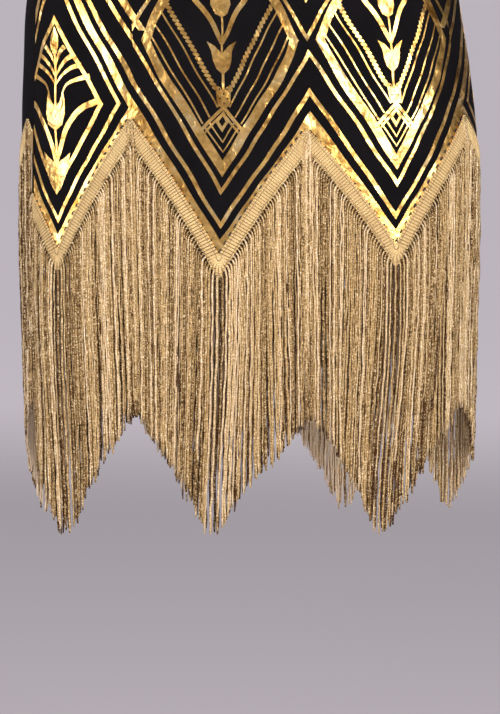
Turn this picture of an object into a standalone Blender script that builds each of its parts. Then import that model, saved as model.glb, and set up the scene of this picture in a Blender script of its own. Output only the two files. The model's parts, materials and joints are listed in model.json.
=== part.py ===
"""Sleeveless straight dress with a zigzag hem and a long fringe, hanging as it does when worn.

Metres, +Z up, front towards -Y, the wearer's left towards +X. The origin lies between the two
shoulders, at the height of the inner face of the straps, where the wearer holds the dress up.

A place on the cloth is given by its drop, the height below the origin, and by its share, the part
of the way round the body from the middle of the front (0) over the wearer's left side (0.25) and
the back (0.5) to the wearer's right side (0.75, which is the same place as -0.25).
"""

import math
from collections import namedtuple

import bmesh
import bpy
import numpy as np
from mathutils import Vector

# Driving dimensions
CLOTH = 0.0012  # wall of the stretch knit
SEAM_GAP = 0.0003  # between two pieces that are sewn together
UNDERARM_DROP = 0.200
NECK_HALF_WIDTH = 0.085
SHOULDER_HALF_WIDTH = 0.135
SHOULDER_SLOPE = 0.35
FRONT_NECK_DROP = 0.110
BACK_NECK_DROP = 0.035
CHEST_HALF_WIDTH = 0.178  # of the figure between the underarm and the shoulder
ARMHOLE_WAIST = 0.126  # half width of the front where the armhole cuts in deepest
ARMHOLE_WAIST_DROP = 0.115
SHOULDER_ROLL = 3.2  # how late the chest turns over into the shoulder
BINDING_WIDTH = 0.008
BINDING_THICKNESS = 0.0020
HEADING_DEPTH = 0.020  # height of the braid along Z; square to its own run it is about 11 mm
HEADING_THICKNESS = 0.0018
HEADING_LAP = 0.004  # how far the braid reaches below the edge of the cloth
STRANDS_BELOW_BRAID = 0.0010  # along Z, which keeps the seam gap square to the steep run of the braid
STRANDS_FROM_SEAM = 0.0012  # as a share of the girth, on each side of a side seam
FRINGE_THICKNESS = 0.0050

# Horizontal sections of the body, from the underarm to the lowest point of the hem
Section = namedtuple("Section", "drop half_width half_depth shift")
SECTIONS = (
    Section(drop=0.200, half_width=0.1700, half_depth=0.112, shift=0.0000),
    Section(drop=0.290, half_width=0.1730, half_depth=0.109, shift=0.0000),
    Section(drop=0.360, half_width=0.1856, half_depth=0.106, shift=-0.0030),
    Section(drop=0.425, half_width=0.1948, half_depth=0.103, shift=-0.0044),
    Section(drop=0.485, half_width=0.2013, half_depth=0.101, shift=-0.0010),
    Section(drop=0.545, half_width=0.2058, half_depth=0.100, shift=0.0008),
    Section(drop=0.610, half_width=0.2070, half_depth=0.099, shift=0.0010),
    Section(drop=0.690, half_width=0.2074, half_depth=0.099, shift=0.0010),
)

# The dress hangs twisted: its side seams run from the middle of the sides to these shares. The front
# panel is the wider one, with its middle between the two, under a high point of its hem
LEFT_SEAM = 0.344
RIGHT_SEAM = -0.2015
SEAM_SETTLES_AT = 0.400

# Turning points of the hem: drop of the upper edge of the braid, and of the tips of the strands below it
Turn = namedtuple("Turn", "share braid_drop fringe_drop")
FRONT_TURNS = (
    Turn(share=RIGHT_SEAM, braid_drop=0.5950, fringe_drop=0.8550),
    Turn(share=-0.167, braid_drop=0.6440, fringe_drop=0.8965),
    Turn(share=-0.089, braid_drop=0.5255, fringe_drop=0.7925),
    Turn(share=-0.008, braid_drop=0.6445, fringe_drop=0.8895),
    Turn(share=0.070, braid_drop=0.5340, fringe_drop=0.7930),
    Turn(share=0.148, braid_drop=0.6350, fringe_drop=0.8870),
    Turn(share=0.221, braid_drop=0.5235, fringe_drop=0.7860),
    Turn(share=0.310, braid_drop=0.6250, fringe_drop=0.8775),
    Turn(share=LEFT_SEAM, braid_drop=0.5780, fringe_drop=0.8380),
)
BACK_TURNS = (
    Turn(share=LEFT_SEAM, braid_drop=0.5400, fringe_drop=0.8020),
    Turn(share=0.353, braid_drop=0.5290, fringe_drop=0.7920),
    Turn(share=0.425, braid_drop=0.6380, fringe_drop=0.8880),
    Turn(share=0.498, braid_drop=0.5250, fringe_drop=0.7900),
    Turn(share=0.571, braid_drop=0.6380, fringe_drop=0.8880),
    Turn(share=0.643, braid_drop=0.5250, fringe_drop=0.7900),
    Turn(share=0.716, braid_drop=0.6400, fringe_drop=0.8900),
    Turn(share=0.789, braid_drop=0.5290, fringe_drop=0.7920),
    Turn(share=1 + RIGHT_SEAM, braid_drop=0.5400, fringe_drop=0.8020),
)

# How finely the pieces are faceted
HALF_TURN_COLUMNS = 6  # columns of facets between two turning points of the hem
SHOULDER_COLUMNS = 5
YOKE_ROWS = 12
BODY_ROWS = 6
HEM_ROWS = 4
HEM_ROWS_START = 0.440

Finish = namedtuple("Finish", "color roughness metallic")
BLACK_KNIT = Finish(color=(0.012, 0.012, 0.014), roughness=0.85, metallic=0.0)
GOLD_BRAID = Finish(color=(0.62, 0.42, 0.17), roughness=0.50, metallic=0.5)
GOLD_STRANDS = Finish(color=(0.55, 0.38, 0.18), roughness=0.55, metallic=0.5)


def smooth_step(start, end, value):
    """0 before start, 1 after end, with a soft turn at both."""
    t = min(max((value - start) / (end - start), 0.0), 1.0)
    return t * t * (3 - 2 * t)


def section_at(drop):
    """The section at this drop, on smooth curves through the rows of the table."""
    rows = SECTIONS
    drop = min(max(drop, rows[0].drop), rows[-1].drop)
    i = next(k for k in range(len(rows) - 1) if drop <= rows[k + 1].drop)
    low, high = rows[i], rows[i + 1]
    before, after = rows[max(i - 1, 0)], rows[min(i + 2, len(rows) - 1)]
    t = (drop - low.drop) / (high.drop - low.drop)
    values = []
    for field in range(1, 4):
        start_slope = (high[field] - before[field]) / (high.drop - before.drop)
        end_slope = (after[field] - low[field]) / (after.drop - low.drop)
        span = high.drop - low.drop
        values.append(
            (2 * t**3 - 3 * t**2 + 1) * low[field]
            + (t**3 - 2 * t**2 + t) * span * start_slope
            + (3 * t**2 - 2 * t**3) * high[field]
            + (t**3 - t**2) * span * end_slope
        )
    return Section(drop, *values)


def angle_of_share(share, half_width, half_depth):
    """The angle on an ellipse, from the front, at which a share of its girth is reached."""
    turns = math.floor(share)
    angles = np.linspace(0.0, 2 * math.pi, 721)
    steps = np.hypot(np.diff(half_width * np.sin(angles)), np.diff(half_depth * np.cos(angles)))
    along = np.concatenate([[0.0], np.cumsum(steps)])
    return 2 * math.pi * turns + float(np.interp((share - turns) * along[-1], along, angles))


def body_point(share, drop, out=0.0):
    """A point below the underarm, this far outside the outer face of the cloth."""
    here = section_at(drop)
    angle = angle_of_share(share, here.half_width, here.half_depth)
    x = here.half_width * math.sin(angle)
    y = -here.half_depth * math.cos(angle)
    step = 0.002
    above, below = section_at(drop - step), section_at(drop + step)
    widening = (above.half_width - below.half_width) / (2 * step)
    deepening = (above.half_depth - below.half_depth) / (2 * step)
    shifting = (above.shift - below.shift) / (2 * step)
    sx, sy = math.sin(angle), -math.cos(angle)
    normal = Vector(
        (
            sx / here.half_width,
            sy / here.half_depth,
            -(sx * sx * widening + sx * shifting) / here.half_width - sy * sy * deepening / here.half_depth,
        )
    ).normalized()
    return Vector((x + here.shift, y, -drop)) + out * normal


def shoulder_drop(x):
    """Drop of the shoulder line at this distance from the middle."""
    return SHOULDER_SLOPE * (abs(x) - NECK_HALF_WIDTH)


def chest_half_width(drop):
    """Half width of the figure above the underarm."""
    rise = smooth_step(UNDERARM_DROP, UNDERARM_DROP - 0.08, drop)
    return SECTIONS[0].half_width + rise * (CHEST_HALF_WIDTH - SECTIONS[0].half_width)


def armhole_half_width(drop):
    """Distance of the armhole's edge from the middle."""
    if drop > ARMHOLE_WAIST_DROP:
        k = (drop - ARMHOLE_WAIST_DROP) / (UNDERARM_DROP - ARMHOLE_WAIST_DROP)
        return ARMHOLE_WAIST + (SECTIONS[0].half_width - ARMHOLE_WAIST) * (1 - math.sqrt(max(1 - k * k, 0.0)))
    k = (ARMHOLE_WAIST_DROP - drop) / (ARMHOLE_WAIST_DROP - shoulder_drop(SHOULDER_HALF_WIDTH))
    return ARMHOLE_WAIST + (SHOULDER_HALF_WIDTH - ARMHOLE_WAIST) * k * k


def chest_depth(x, drop):
    """Half depth of the figure's section through x and drop, which falls to nothing on the shoulder line."""
    t = (UNDERARM_DROP - drop) / (UNDERARM_DROP - shoulder_drop(x))
    t = min(max(t, 0.0), 1.0)
    return SECTIONS[0].half_depth * math.sqrt(max(1 - t**SHOULDER_ROLL, 1e-7))


def yoke_x(reach, drop):
    """Distance from the middle of the line that is at this reach (-1 to 1) on the underarm line."""
    width = chest_half_width(drop)
    cut = 1 - armhole_half_width(drop) / width
    return width * reach * (1 - cut * reach * reach)


def yoke_reach(x, drop):
    """The reach of a point: yoke_x turned round."""
    low, high = -1.0, 1.0
    for _ in range(50):
        middle = (low + high) / 2
        low, high = (middle, high) if yoke_x(middle, drop) < x else (low, middle)
    return (low + high) / 2


def yoke_point(side, x, drop, out=0.0):
    """A point above the underarm. side is -1 on the front and 1 on the back."""
    width = chest_half_width(drop)
    depth = chest_depth(x, drop)
    slope = math.sqrt(max(1 - (x / width) ** 2, 1e-6))
    step = 0.0004
    depth_x = (chest_depth(x + step, drop) - chest_depth(x - step, drop)) / (2 * step)
    depth_z = (chest_depth(x, drop - step) - chest_depth(x, drop + step)) / (2 * step)
    normal = Vector((x * depth / (width**2 * slope) - slope * depth_x, side, -slope * depth_z)).normalized()
    return Vector((x, side * depth * slope, -drop)) + out * normal


def between(turns, share, field):
    """Straight line between the turning points."""
    shares = [turn.share for turn in turns]
    return float(np.interp(share, shares, [getattr(turn, field) for turn in turns]))


def hem_shares(turns):
    """Shares of the columns of facets, with one on each turning point."""
    shares = []
    usual = turns[3].share - turns[2].share
    for start, end in zip(turns, turns[1:]):
        count = max(round(HALF_TURN_COLUMNS * (end.share - start.share) / usual), 1)
        shares += [start.share + (end.share - start.share) * i / count for i in range(count)]
    return shares + [turns[-1].share]


def inset_ends(values, inset):
    """The same values with the first and last moved inwards."""
    return [values[0] + inset, *values[1:-1], values[-1] - inset]


def top_edge(side, count):
    """(x, drop) of the tops of the columns: shoulder, neckline, shoulder, in the direction of the shares."""
    neck_drop = FRONT_NECK_DROP if side < 0 else BACK_NECK_DROP
    shoulder = [
        SHOULDER_HALF_WIDTH + (NECK_HALF_WIDTH - SHOULDER_HALF_WIDTH) * i / SHOULDER_COLUMNS
        for i in range(SHOULDER_COLUMNS + 1)
    ]
    points = [(-x, shoulder_drop(x)) for x in shoulder]
    inner = count - 2 * len(shoulder)
    for i in range(1, inner + 1):
        turn = math.pi * i / (inner + 1)
        points.append((-NECK_HALF_WIDTH * math.cos(turn), neck_drop * math.sin(turn)))
    points += [(x, shoulder_drop(x)) for x in reversed(shoulder)]
    return points if side < 0 else [(-x, drop) for x, drop in points]


def panel_grid(side, turns, out):
    """Rows of points from the top edge to the hem, at one distance from the outer face of the cloth."""
    hem = inset_ends(hem_shares(turns), SEAM_GAP / 2)
    count = len(hem)
    middle = 0.0 if side < 0 else 0.5
    underarm = inset_ends([middle - 0.25 + 0.5 * i / (count - 1) for i in range(count)], SEAM_GAP / 2)
    tops = top_edge(side, count)
    top_section = SECTIONS[0]
    rows = []
    for row in range(YOKE_ROWS):
        t = (1 + math.cos(math.pi * row / YOKE_ROWS)) / 2
        points = []
        for share, (top_x, top_drop) in zip(underarm, tops):
            on_line = math.sin(angle_of_share(share, top_section.half_width, top_section.half_depth))
            reach = on_line + (yoke_reach(top_x, top_drop) - on_line) * t
            drop = UNDERARM_DROP + (top_drop - UNDERARM_DROP) * t
            point = yoke_point(side, yoke_x(reach, drop), drop, out)
            point.y = side * max(side * point.y, SEAM_GAP / 2)
            points.append(point)
        rows.append(points)
    drops = [UNDERARM_DROP + (HEM_ROWS_START - UNDERARM_DROP) * i / BODY_ROWS for i in range(BODY_ROWS)]
    for drop in drops:
        t = smooth_step(UNDERARM_DROP, SEAM_SETTLES_AT, drop)
        rows.append([body_point(u + (h - u) * t, drop, out) for u, h in zip(underarm, hem)])
    for row in range(HEM_ROWS + 1):
        points = []
        for share in hem:
            edge = between(turns, share, "braid_drop") + HEADING_DEPTH - HEADING_LAP
            points.append(body_point(share, HEM_ROWS_START + (edge - HEM_ROWS_START) * row / HEM_ROWS, out))
        rows.append(points)
    return rows


def band_grid(turns, top, bottom, out):
    """Rows of points from one drop to another, each worked out from the share."""
    rows = []
    for drop_of in (top, bottom):
        rows.append([body_point(s, drop_of(s), out) for s in inset_ends(hem_shares(turns), SEAM_GAP / 2)])
    return rows


def fringe_grid(turns, out):
    """Rows of points from under the braid straight down to the tips of the strands."""
    shares = inset_ends(hem_shares(turns), STRANDS_FROM_SEAM)
    tops = []
    bottoms = []
    for share in shares:
        drop = between(turns, share, "braid_drop") + HEADING_DEPTH + STRANDS_BELOW_BRAID
        top = body_point(share, drop, out)
        tops.append(top)
        bottoms.append(Vector((top.x, top.y, -between(turns, share, "fringe_drop"))))
    return [tops, bottoms]


def finish_material(name, finish):
    material = bpy.data.materials.new(name)
    material.use_nodes = True
    shader = material.node_tree.nodes["Principled BSDF"]
    shader.inputs["Base Color"].default_value = (*finish.color, 1.0)
    shader.inputs["Roughness"].default_value = finish.roughness
    shader.inputs["Metallic"].default_value = finish.metallic
    material.diffuse_color = (*finish.color, 1.0)
    return material


def add_object(name, bm, material):
    bmesh.ops.triangulate(bm, faces=bm.faces[:])
    bmesh.ops.recalc_face_normals(bm, faces=bm.faces[:])
    mesh = bpy.data.meshes.new(name)
    bm.to_mesh(mesh)
    bm.free()
    mesh.materials.append(material)
    mesh.shade_smooth()
    mesh.set_sharp_from_angle(angle=math.radians(40))
    obj = bpy.data.objects.new(name, mesh)
    bpy.context.scene.collection.objects.link(obj)
    return obj


def add_wall(name, outer, inner, material):
    """A wall between two grids of the same size, closed round its rim."""
    bm = bmesh.new()
    faces_of = []
    for grid in (outer, inner):
        faces_of.append([[bm.verts.new(point) for point in row] for row in grid])
    last_row, last_column = len(outer) - 1, len(outer[0]) - 1
    for grid in faces_of:
        for r in range(last_row):
            for c in range(last_column):
                bm.faces.new((grid[r][c], grid[r][c + 1], grid[r + 1][c + 1], grid[r + 1][c]))
    rim = [(0, c) for c in range(last_column)]
    rim += [(r, last_column) for r in range(last_row)]
    rim += [(last_row, c) for c in range(last_column, 0, -1)]
    rim += [(r, 0) for r in range(last_row, 0, -1)]
    front, back = faces_of
    for (r, c), (next_r, next_c) in zip(rim, rim[1:] + rim[:1]):
        bm.faces.new((front[r][c], front[next_r][next_c], back[next_r][next_c], back[r][c]))
    return add_object(name, bm, material)


def add_binding(name, edge, material):
    """A flat ring beside an edge, given as pairs of points on the outer and the inner face of the cloth."""
    points = [outer for outer, _ in edge]
    middle = sum(points, Vector()) / len(points)
    near, far = SEAM_GAP, SEAM_GAP + BINDING_WIDTH
    high = (BINDING_THICKNESS - CLOTH) / 2
    low = high - BINDING_THICKNESS
    bm = bmesh.new()
    rings = []
    for i, (outer, inner) in enumerate(edge):
        normal = (outer - inner).normalized()
        away = (points[(i + 1) % len(points)] - points[i - 1]).cross(normal).normalized()
        if away.dot(middle - outer) < 0:
            away = -away
        corners = ((near, low), (far, low), (far, high), (near, high))
        rings.append([bm.verts.new(outer + away * a + normal * b) for a, b in corners])
    for ring, following in zip(rings, rings[1:] + rings[:1]):
        for k in range(4):
            bm.faces.new((ring[k], ring[(k + 1) % 4], following[(k + 1) % 4], following[k]))
    return add_object(name, bm, material)


def closed_edge(front, back):
    """One closed edge from the two panels' edges, whose ends meet in pairs at the seams."""
    starts = [(a + b) / 2 for a, b in zip(front[0], back[-1])]
    turns = [(a + b) / 2 for a, b in zip(front[-1], back[0])]
    return [starts, *front[1:-1], turns, *back[1:-1]]


def add_bindings(front, back, material):
    """The neck and armhole bindings, from the pairs of points on the two panels."""
    neck = slice(SHOULDER_COLUMNS, -SHOULDER_COLUMNS)
    add_binding("neck_binding", closed_edge(front[0][neck], back[0][neck]), material)
    for name, front_column, back_column in (
        ("armhole_binding_left", -1, 0),
        ("armhole_binding_right", 0, -1),
    ):
        down = [row[front_column] for row in front[: YOKE_ROWS + 1]]
        up = [row[back_column] for row in reversed(back[: YOKE_ROWS + 1])]
        add_binding(name, closed_edge(down, up), material)


def add_side(word, side, turns, materials):
    """One panel with its braid and its fringe. It returns the panel's rows of outer and inner points."""
    knit, braid, strands = materials
    outer, inner = panel_grid(side, turns, 0.0), panel_grid(side, turns, -CLOTH)
    add_wall(f"{word}_panel", outer, inner, knit)

    def braid_top(share):
        return between(turns, share, "braid_drop")

    def braid_bottom(share):
        return braid_top(share) + HEADING_DEPTH

    near, far = SEAM_GAP, SEAM_GAP + HEADING_THICKNESS
    add_wall(
        f"fringe_heading_{word}",
        band_grid(turns, braid_top, braid_bottom, far),
        band_grid(turns, braid_top, braid_bottom, near),
        braid,
    )
    add_wall(
        f"fringe_{word}",
        fringe_grid(turns, FRINGE_THICKNESS - CLOTH),
        fringe_grid(turns, -CLOTH),
        strands,
    )
    return [list(zip(*rows)) for rows in zip(outer, inner)]


def clear_scene():
    for obj in list(bpy.data.objects):
        bpy.data.objects.remove(obj, do_unlink=True)


def main():
    clear_scene()
    knit = finish_material("black_knit", BLACK_KNIT)
    braid = finish_material("gold_braid", GOLD_BRAID)
    strands = finish_material("gold_strands", GOLD_STRANDS)
    front = add_side("front", -1, FRONT_TURNS, (knit, braid, strands))
    back = add_side("back", 1, BACK_TURNS, (knit, braid, strands))
    add_bindings(front, back, knit)


main()
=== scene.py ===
"""The looks of a sleeveless fringed dress, hanging as it does when worn.

Two panels of black stretch knit, tapes round the neck and the armholes, a foil print on the front,
and a braid with long twisted strands along the zigzag hem. Metres, +Z up, front towards -Y.

A place on the cloth is given by its drop, the height below the shoulders, and by its share, the
part of the way round from the middle of the front (0) over the wearer's left side (0.25).
"""

import json
import logging
import math
from dataclasses import dataclass, field
from enum import Enum
from typing import Any, Callable, ClassVar, Iterable, Optional, Sequence, Union

import bmesh
import bpy
import numpy as np
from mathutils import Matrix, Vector
from mathutils.geometry import delaunay_2d_cdt

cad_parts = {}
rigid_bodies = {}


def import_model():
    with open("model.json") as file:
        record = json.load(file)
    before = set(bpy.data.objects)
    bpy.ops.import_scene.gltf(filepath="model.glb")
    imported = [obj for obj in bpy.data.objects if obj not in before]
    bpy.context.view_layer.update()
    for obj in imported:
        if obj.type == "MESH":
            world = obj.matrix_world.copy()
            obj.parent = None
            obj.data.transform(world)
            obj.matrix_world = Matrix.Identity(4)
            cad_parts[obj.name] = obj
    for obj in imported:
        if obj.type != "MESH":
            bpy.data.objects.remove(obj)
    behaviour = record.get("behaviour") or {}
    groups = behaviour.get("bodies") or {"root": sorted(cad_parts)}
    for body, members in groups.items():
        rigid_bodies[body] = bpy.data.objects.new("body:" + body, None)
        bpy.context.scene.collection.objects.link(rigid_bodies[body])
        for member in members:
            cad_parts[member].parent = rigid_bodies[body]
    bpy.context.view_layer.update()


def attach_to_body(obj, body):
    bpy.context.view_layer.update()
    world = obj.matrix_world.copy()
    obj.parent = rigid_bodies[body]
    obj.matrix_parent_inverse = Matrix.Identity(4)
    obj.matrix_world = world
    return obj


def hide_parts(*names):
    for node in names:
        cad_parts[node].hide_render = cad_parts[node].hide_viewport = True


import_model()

log = logging.getLogger("dress")
Array = np.ndarray
Piece = bpy.types.Object
Material = bpy.types.Material
Socket = bpy.types.NodeSocket
Pair = tuple[float, float]
Triple = tuple[float, float, float]
TURN = 2 * math.pi
RIM_ANGLE = math.radians(50)


# ---- node trees


def operator(operation: str, turned: bool = False) -> Callable[["Value", Any], "Value"]:
    """Makes one of Value's operators.

    Args:
        operation: the Math node's operation.
        turned: whether the other number comes first.

    Returns:
        The method.
    """

    def method(self: "Value", other: Any) -> "Value":
        """The result of the operation on the two numbers."""
        numbers = (other, self) if turned else (self, other)
        return self._math(operation, *numbers)

    return method


class Value:
    """A number in a node tree. Python's operators on it add Math nodes."""

    def __init__(self, tree: "Tree", socket: Socket) -> None:
        """Keeps the tree and the socket that the number comes from."""
        self.tree = tree
        self.socket = socket

    def _math(self, operation: str, *numbers: Any) -> "Value":
        """Adds one Math node.

        Args:
            operation: the node's operation.
            numbers: its inputs in order, values or plain numbers.

        Returns:
            The node's result.
        """
        node = self.tree.node("ShaderNodeMath", {"operation": operation}, dict(enumerate(numbers)))
        return Value(self.tree, node.outputs[0])

    __add__ = operator("ADD")
    __radd__ = operator("ADD", True)
    __sub__ = operator("SUBTRACT")
    __rsub__ = operator("SUBTRACT", True)
    __mul__ = operator("MULTIPLY")
    __rmul__ = operator("MULTIPLY", True)
    __truediv__ = operator("DIVIDE")
    __pow__ = operator("POWER")

    def __abs__(self) -> "Value":
        """abs(self)."""
        return self._math("ABSOLUTE", self)

    def sine(self) -> "Value":
        """The sine of the number."""
        return self._math("SINE", self)

    def at_most(self, other: Any) -> "Value":
        """The lower of the two numbers."""
        return self._math("MINIMUM", self, other)

    def ramp(self, start: float, end: float) -> "Value":
        """0 at start and 1 at end, softly, and level outside them."""
        node = self.tree.node(
            "ShaderNodeMapRange",
            {"interpolation_type": "SMOOTHSTEP"},
            {"Value": self, "From Min": start, "From Max": end},
        )
        return Value(self.tree, node.outputs["Result"])


class Tree:
    """A node tree being built, of a material or of Geometry Nodes."""

    def __init__(self, nodes: bpy.types.NodeTree) -> None:
        """Keeps the tree."""
        self.nodes = nodes

    def node(
        self, kind: str, settings: Optional[dict] = None, inputs: Optional[dict] = None
    ) -> bpy.types.Node:
        """Adds a node.

        Args:
            kind: the node's type.
            settings: its properties, which are set first. "stops" holds a ramp's (place, colour) pairs.
            inputs: values or links of its sockets, by name or number.

        Returns:
            The node.
        """
        made = self.nodes.nodes.new(kind)
        for name, value in (settings or {}).items():
            if name == "stops":
                self._stops(made.color_ramp, value)
            else:
                setattr(made, name, value)
        for key, value in (inputs or {}).items():
            self.feed(made.inputs[key], value)
        return made

    @staticmethod
    def _stops(ramp: bpy.types.ColorRamp, stops: Sequence[tuple]) -> None:
        """Gives a colour ramp its stops.

        Args:
            ramp: the ramp.
            stops: pairs of a place from 0 to 1 and a colour.
        """
        while len(ramp.elements) < len(stops):
            ramp.elements.new(0.5)
        for element, (place, color) in zip(ramp.elements, stops):
            element.position = place
            element.color = (*color, 1.0)

    def feed(self, socket: Socket, value: Any) -> None:
        """Links or sets one input socket.

        Args:
            socket: the input.
            value: a value or an output to link to it, or what it is set to.
        """
        source = value.socket if isinstance(value, Value) else value
        if isinstance(source, Socket):
            self.nodes.links.new(source, socket)
        else:
            socket.default_value = value

    def value(
        self,
        kind: str,
        output: Union[str, int],
        settings: Optional[dict] = None,
        inputs: Optional[dict] = None,
    ) -> Value:
        """Adds a node and returns one of its outputs as a number."""
        return Value(self, self.node(kind, settings, inputs).outputs[output])

    def vector(self, operation: str, *inputs: Any) -> Socket:
        """Adds a Vector Math node with these inputs and returns its vector."""
        keys = (0, "Scale") if operation == "SCALE" else (0, 1)
        return self.node("ShaderNodeVectorMath", {"operation": operation}, dict(zip(keys, inputs))).outputs[0]


class Surface(Tree):
    """A material's tree, with the helpers that the finishes share."""

    def __init__(self, name: str) -> None:
        """Makes the material with a bare Principled shader."""
        self.material = bpy.data.materials.new(name)
        self.material.use_nodes = True
        super().__init__(self.material.node_tree)
        self.shader = self.nodes.nodes["Principled BSDF"]

    def place(self) -> Socket:
        """Object coordinates."""
        return self.node("ShaderNodeTexCoord").outputs["Object"]

    def cloth_place(self) -> tuple[Value, Value]:
        """The piece's own UV map, in metres across and down."""
        uv = self.node("ShaderNodeUVMap", {"uv_map": "UVMap"}).outputs["UV"]
        split = self.node("ShaderNodeSeparateXYZ", None, {0: uv})
        return Value(self, split.outputs["X"]), Value(self, split.outputs["Y"])

    def noise(self, per_metre: float, detail: float = 2.0, warp: float = 0.0) -> Value:
        """Soft noise from 0 to 1.

        Args:
            per_metre: how many blobs there are to the metre.
            detail: octaves.
            warp: distortion.

        Returns:
            The noise.
        """
        inputs = {"Vector": self.place(), "Scale": per_metre, "Detail": detail, "Distortion": warp}
        return self.value("ShaderNodeTexNoise", "Fac", None, inputs)

    def attribute(self, name: str) -> Value:
        """A number stored on the mesh."""
        return self.value("ShaderNodeAttribute", "Fac", {"attribute_name": name})

    def mix(self, factor: Any, first: Any, second: Any) -> Socket:
        """Mixes this much of the second colour into the first. Either may be a link."""
        first, second = ((*color, 1.0) if isinstance(color, tuple) else color for color in (first, second))
        return self.node("ShaderNodeMix", {"data_type": "RGBA"}, {0: factor, 6: first, 7: second}).outputs[2]

    def colors(self, factor: Value, *stops: tuple) -> Socket:
        """A colour ramp over a number."""
        return self.node("ShaderNodeValToRGB", {"stops": stops}, {"Fac": factor}).outputs["Color"]

    def bump(self, height: Value, distance: float, under: Any = None) -> Socket:
        """Adds a Bump node.

        Args:
            height: the relief, from 0 to about 1.
            distance: metres to which a height of 1 stands up.
            under: the bump that this one lies on.

        Returns:
            The normal.
        """
        inputs = {"Height": height, "Distance": distance, "Strength": 1.0}
        if under is not None:
            inputs["Normal"] = under
        return self.node("ShaderNodeBump", None, inputs).outputs["Normal"]

    def finish(self, **sockets: Any) -> Material:
        """Feeds the shader.

        Args:
            sockets: values or links of its sockets, named in small letters with underscores.

        Returns:
            The material.
        """
        for name, value in sockets.items():
            self.feed(self.shader.inputs[name.replace("_", " ").title().replace("Ior", "IOR")], value)
        return self.material


# ---- finishes


@dataclass(frozen=True)
class KnitFinish:
    """Matt black stretch knit with fine wales."""

    name: str
    deep: tuple = (0.0020, 0.0016, 0.0023)
    # lighter knit colour: random lighter patches, and the painted sheen on the wales' ridges
    worn: tuple = (0.0042, 0.0033, 0.0046)
    wale: float = 0.00085
    course: float = 0.00065
    roughness: float = 0.72

    def material(self) -> Material:
        """The finish as a node material."""
        tree = Surface(self.name)
        across, down = tree.cloth_place()
        rib = abs((across * (math.pi / self.wale)).sine())
        loop = (down * (TURN / self.course) + rib * 2.2).sine()
        fuzz = tree.noise(2200.0, 3.0)
        color = tree.mix(tree.noise(24.0, 3.0).ramp(0.35, 0.7), self.deep, self.worn)
        return tree.finish(
            # the wales' ridges are mixed towards the lighter colour: painted sheen
            base_color=tree.mix(rib * 0.35, color, self.worn),
            roughness=tree.noise(60.0) * 0.16 + (self.roughness - 0.08),
            normal=tree.bump(rib + loop * 0.35 + fuzz * 0.5, 0.00012),
            specular_ior_level=0.07,
        )


@dataclass(frozen=True)
class FoilFinish:
    """Thin gold foil pressed on knit: crinkled, with patches of painted shade and painted highlight, and a
    little rubbed.
    """

    name: str = "gold_foil"
    # first and last of the three colours: painted shade and painted highlight
    shadow: tuple = (0.45, 0.205, 0.036)
    gold: tuple = (0.92, 0.580, 0.180)
    painted_highlight: tuple = (1.0, 0.80, 0.44)
    under: tuple = (0.03, 0.022, 0.012)
    cells: float = 420.0
    wale: float = 0.00085
    crinkle: float = 48.0
    crinkle_height: float = 0.0038

    def material(self) -> Material:
        """The finish as a node material."""
        tree = Surface(self.name)
        across, _ = tree.cloth_place()
        # soft patches of painted shade and painted highlight, in place of the crinkled foil's changing
        # reflections
        mottle = tree.noise(42.0, 4.0, 0.6)
        grain = tree.noise(260.0, 2.0)
        shade_and_highlight = mottle * 0.72 + grain * 0.28
        color = tree.colors(shade_and_highlight, (0.32, self.shadow), (0.52, self.gold), (0.72, self.painted_highlight))
        cells = {"Vector": tree.place(), "Scale": self.cells}
        edge = tree.value("ShaderNodeTexVoronoi", "Distance", {"feature": "DISTANCE_TO_EDGE"}, cells)
        crack = edge.ramp(0.035, 0.012) * tree.noise(30.0).ramp(0.56, 0.66)
        rib = abs((across * (math.pi / self.wale)).sine())
        wide = tree.bump(tree.noise(self.crinkle, 2.0, 0.4), self.crinkle_height)
        small = tree.bump(tree.noise(190.0, 2.0, 0.8), 0.0005, wide)
        fine = tree.bump(tree.noise(620.0, 2.0) + rib * 0.25, 0.00010, small)
        return tree.finish(
            base_color=tree.mix(crack, color, self.under),
            metallic=1.0 - crack * 0.9,
            roughness=tree.noise(90.0, 2.0) * 0.22 + 0.20,
            normal=fine,
        )


@dataclass(frozen=True)
class ThreadFinish:
    """Twisted metallic thread, as in the braid, with painted shade in the twist's grooves, painted highlight
    on its ridges and painted glints. Its UV map runs round and along the thread.
    """

    name: str = "gold_braid_thread"
    # colours of the twist's grooves and ridges: painted shade and painted highlight
    shaded_hollow: tuple = (0.50, 0.29, 0.10)
    lit_crest: tuple = (1.0, 0.80, 0.42)
    twist: float = 0.0011
    metallic: float = 0.35
    roughness: float = 0.46

    def material(self) -> Material:
        """The finish as a node material."""
        tree = Surface(self.name)
        around, along = tree.cloth_place()
        ply = ((along / self.twist + around) * TURN).sine() * 0.5 + 0.5
        # fine specks that lighten the colour: painted glints
        glint = tree.noise(1500.0, 2.0).ramp(0.40, 0.70)
        # tone follows the twist as painted shade and highlight, with painted glints and random patches
        tone = ply * 0.45 + glint * 0.25 + tree.noise(55.0, 2.0) * 0.42
        return tree.finish(
            base_color=tree.colors(tone, (0.10, self.shaded_hollow), (0.78, self.lit_crest)),
            metallic=self.metallic,
            roughness=self.roughness,
            normal=tree.bump(ply + glint * 0.3, 0.00025),
        )


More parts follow.
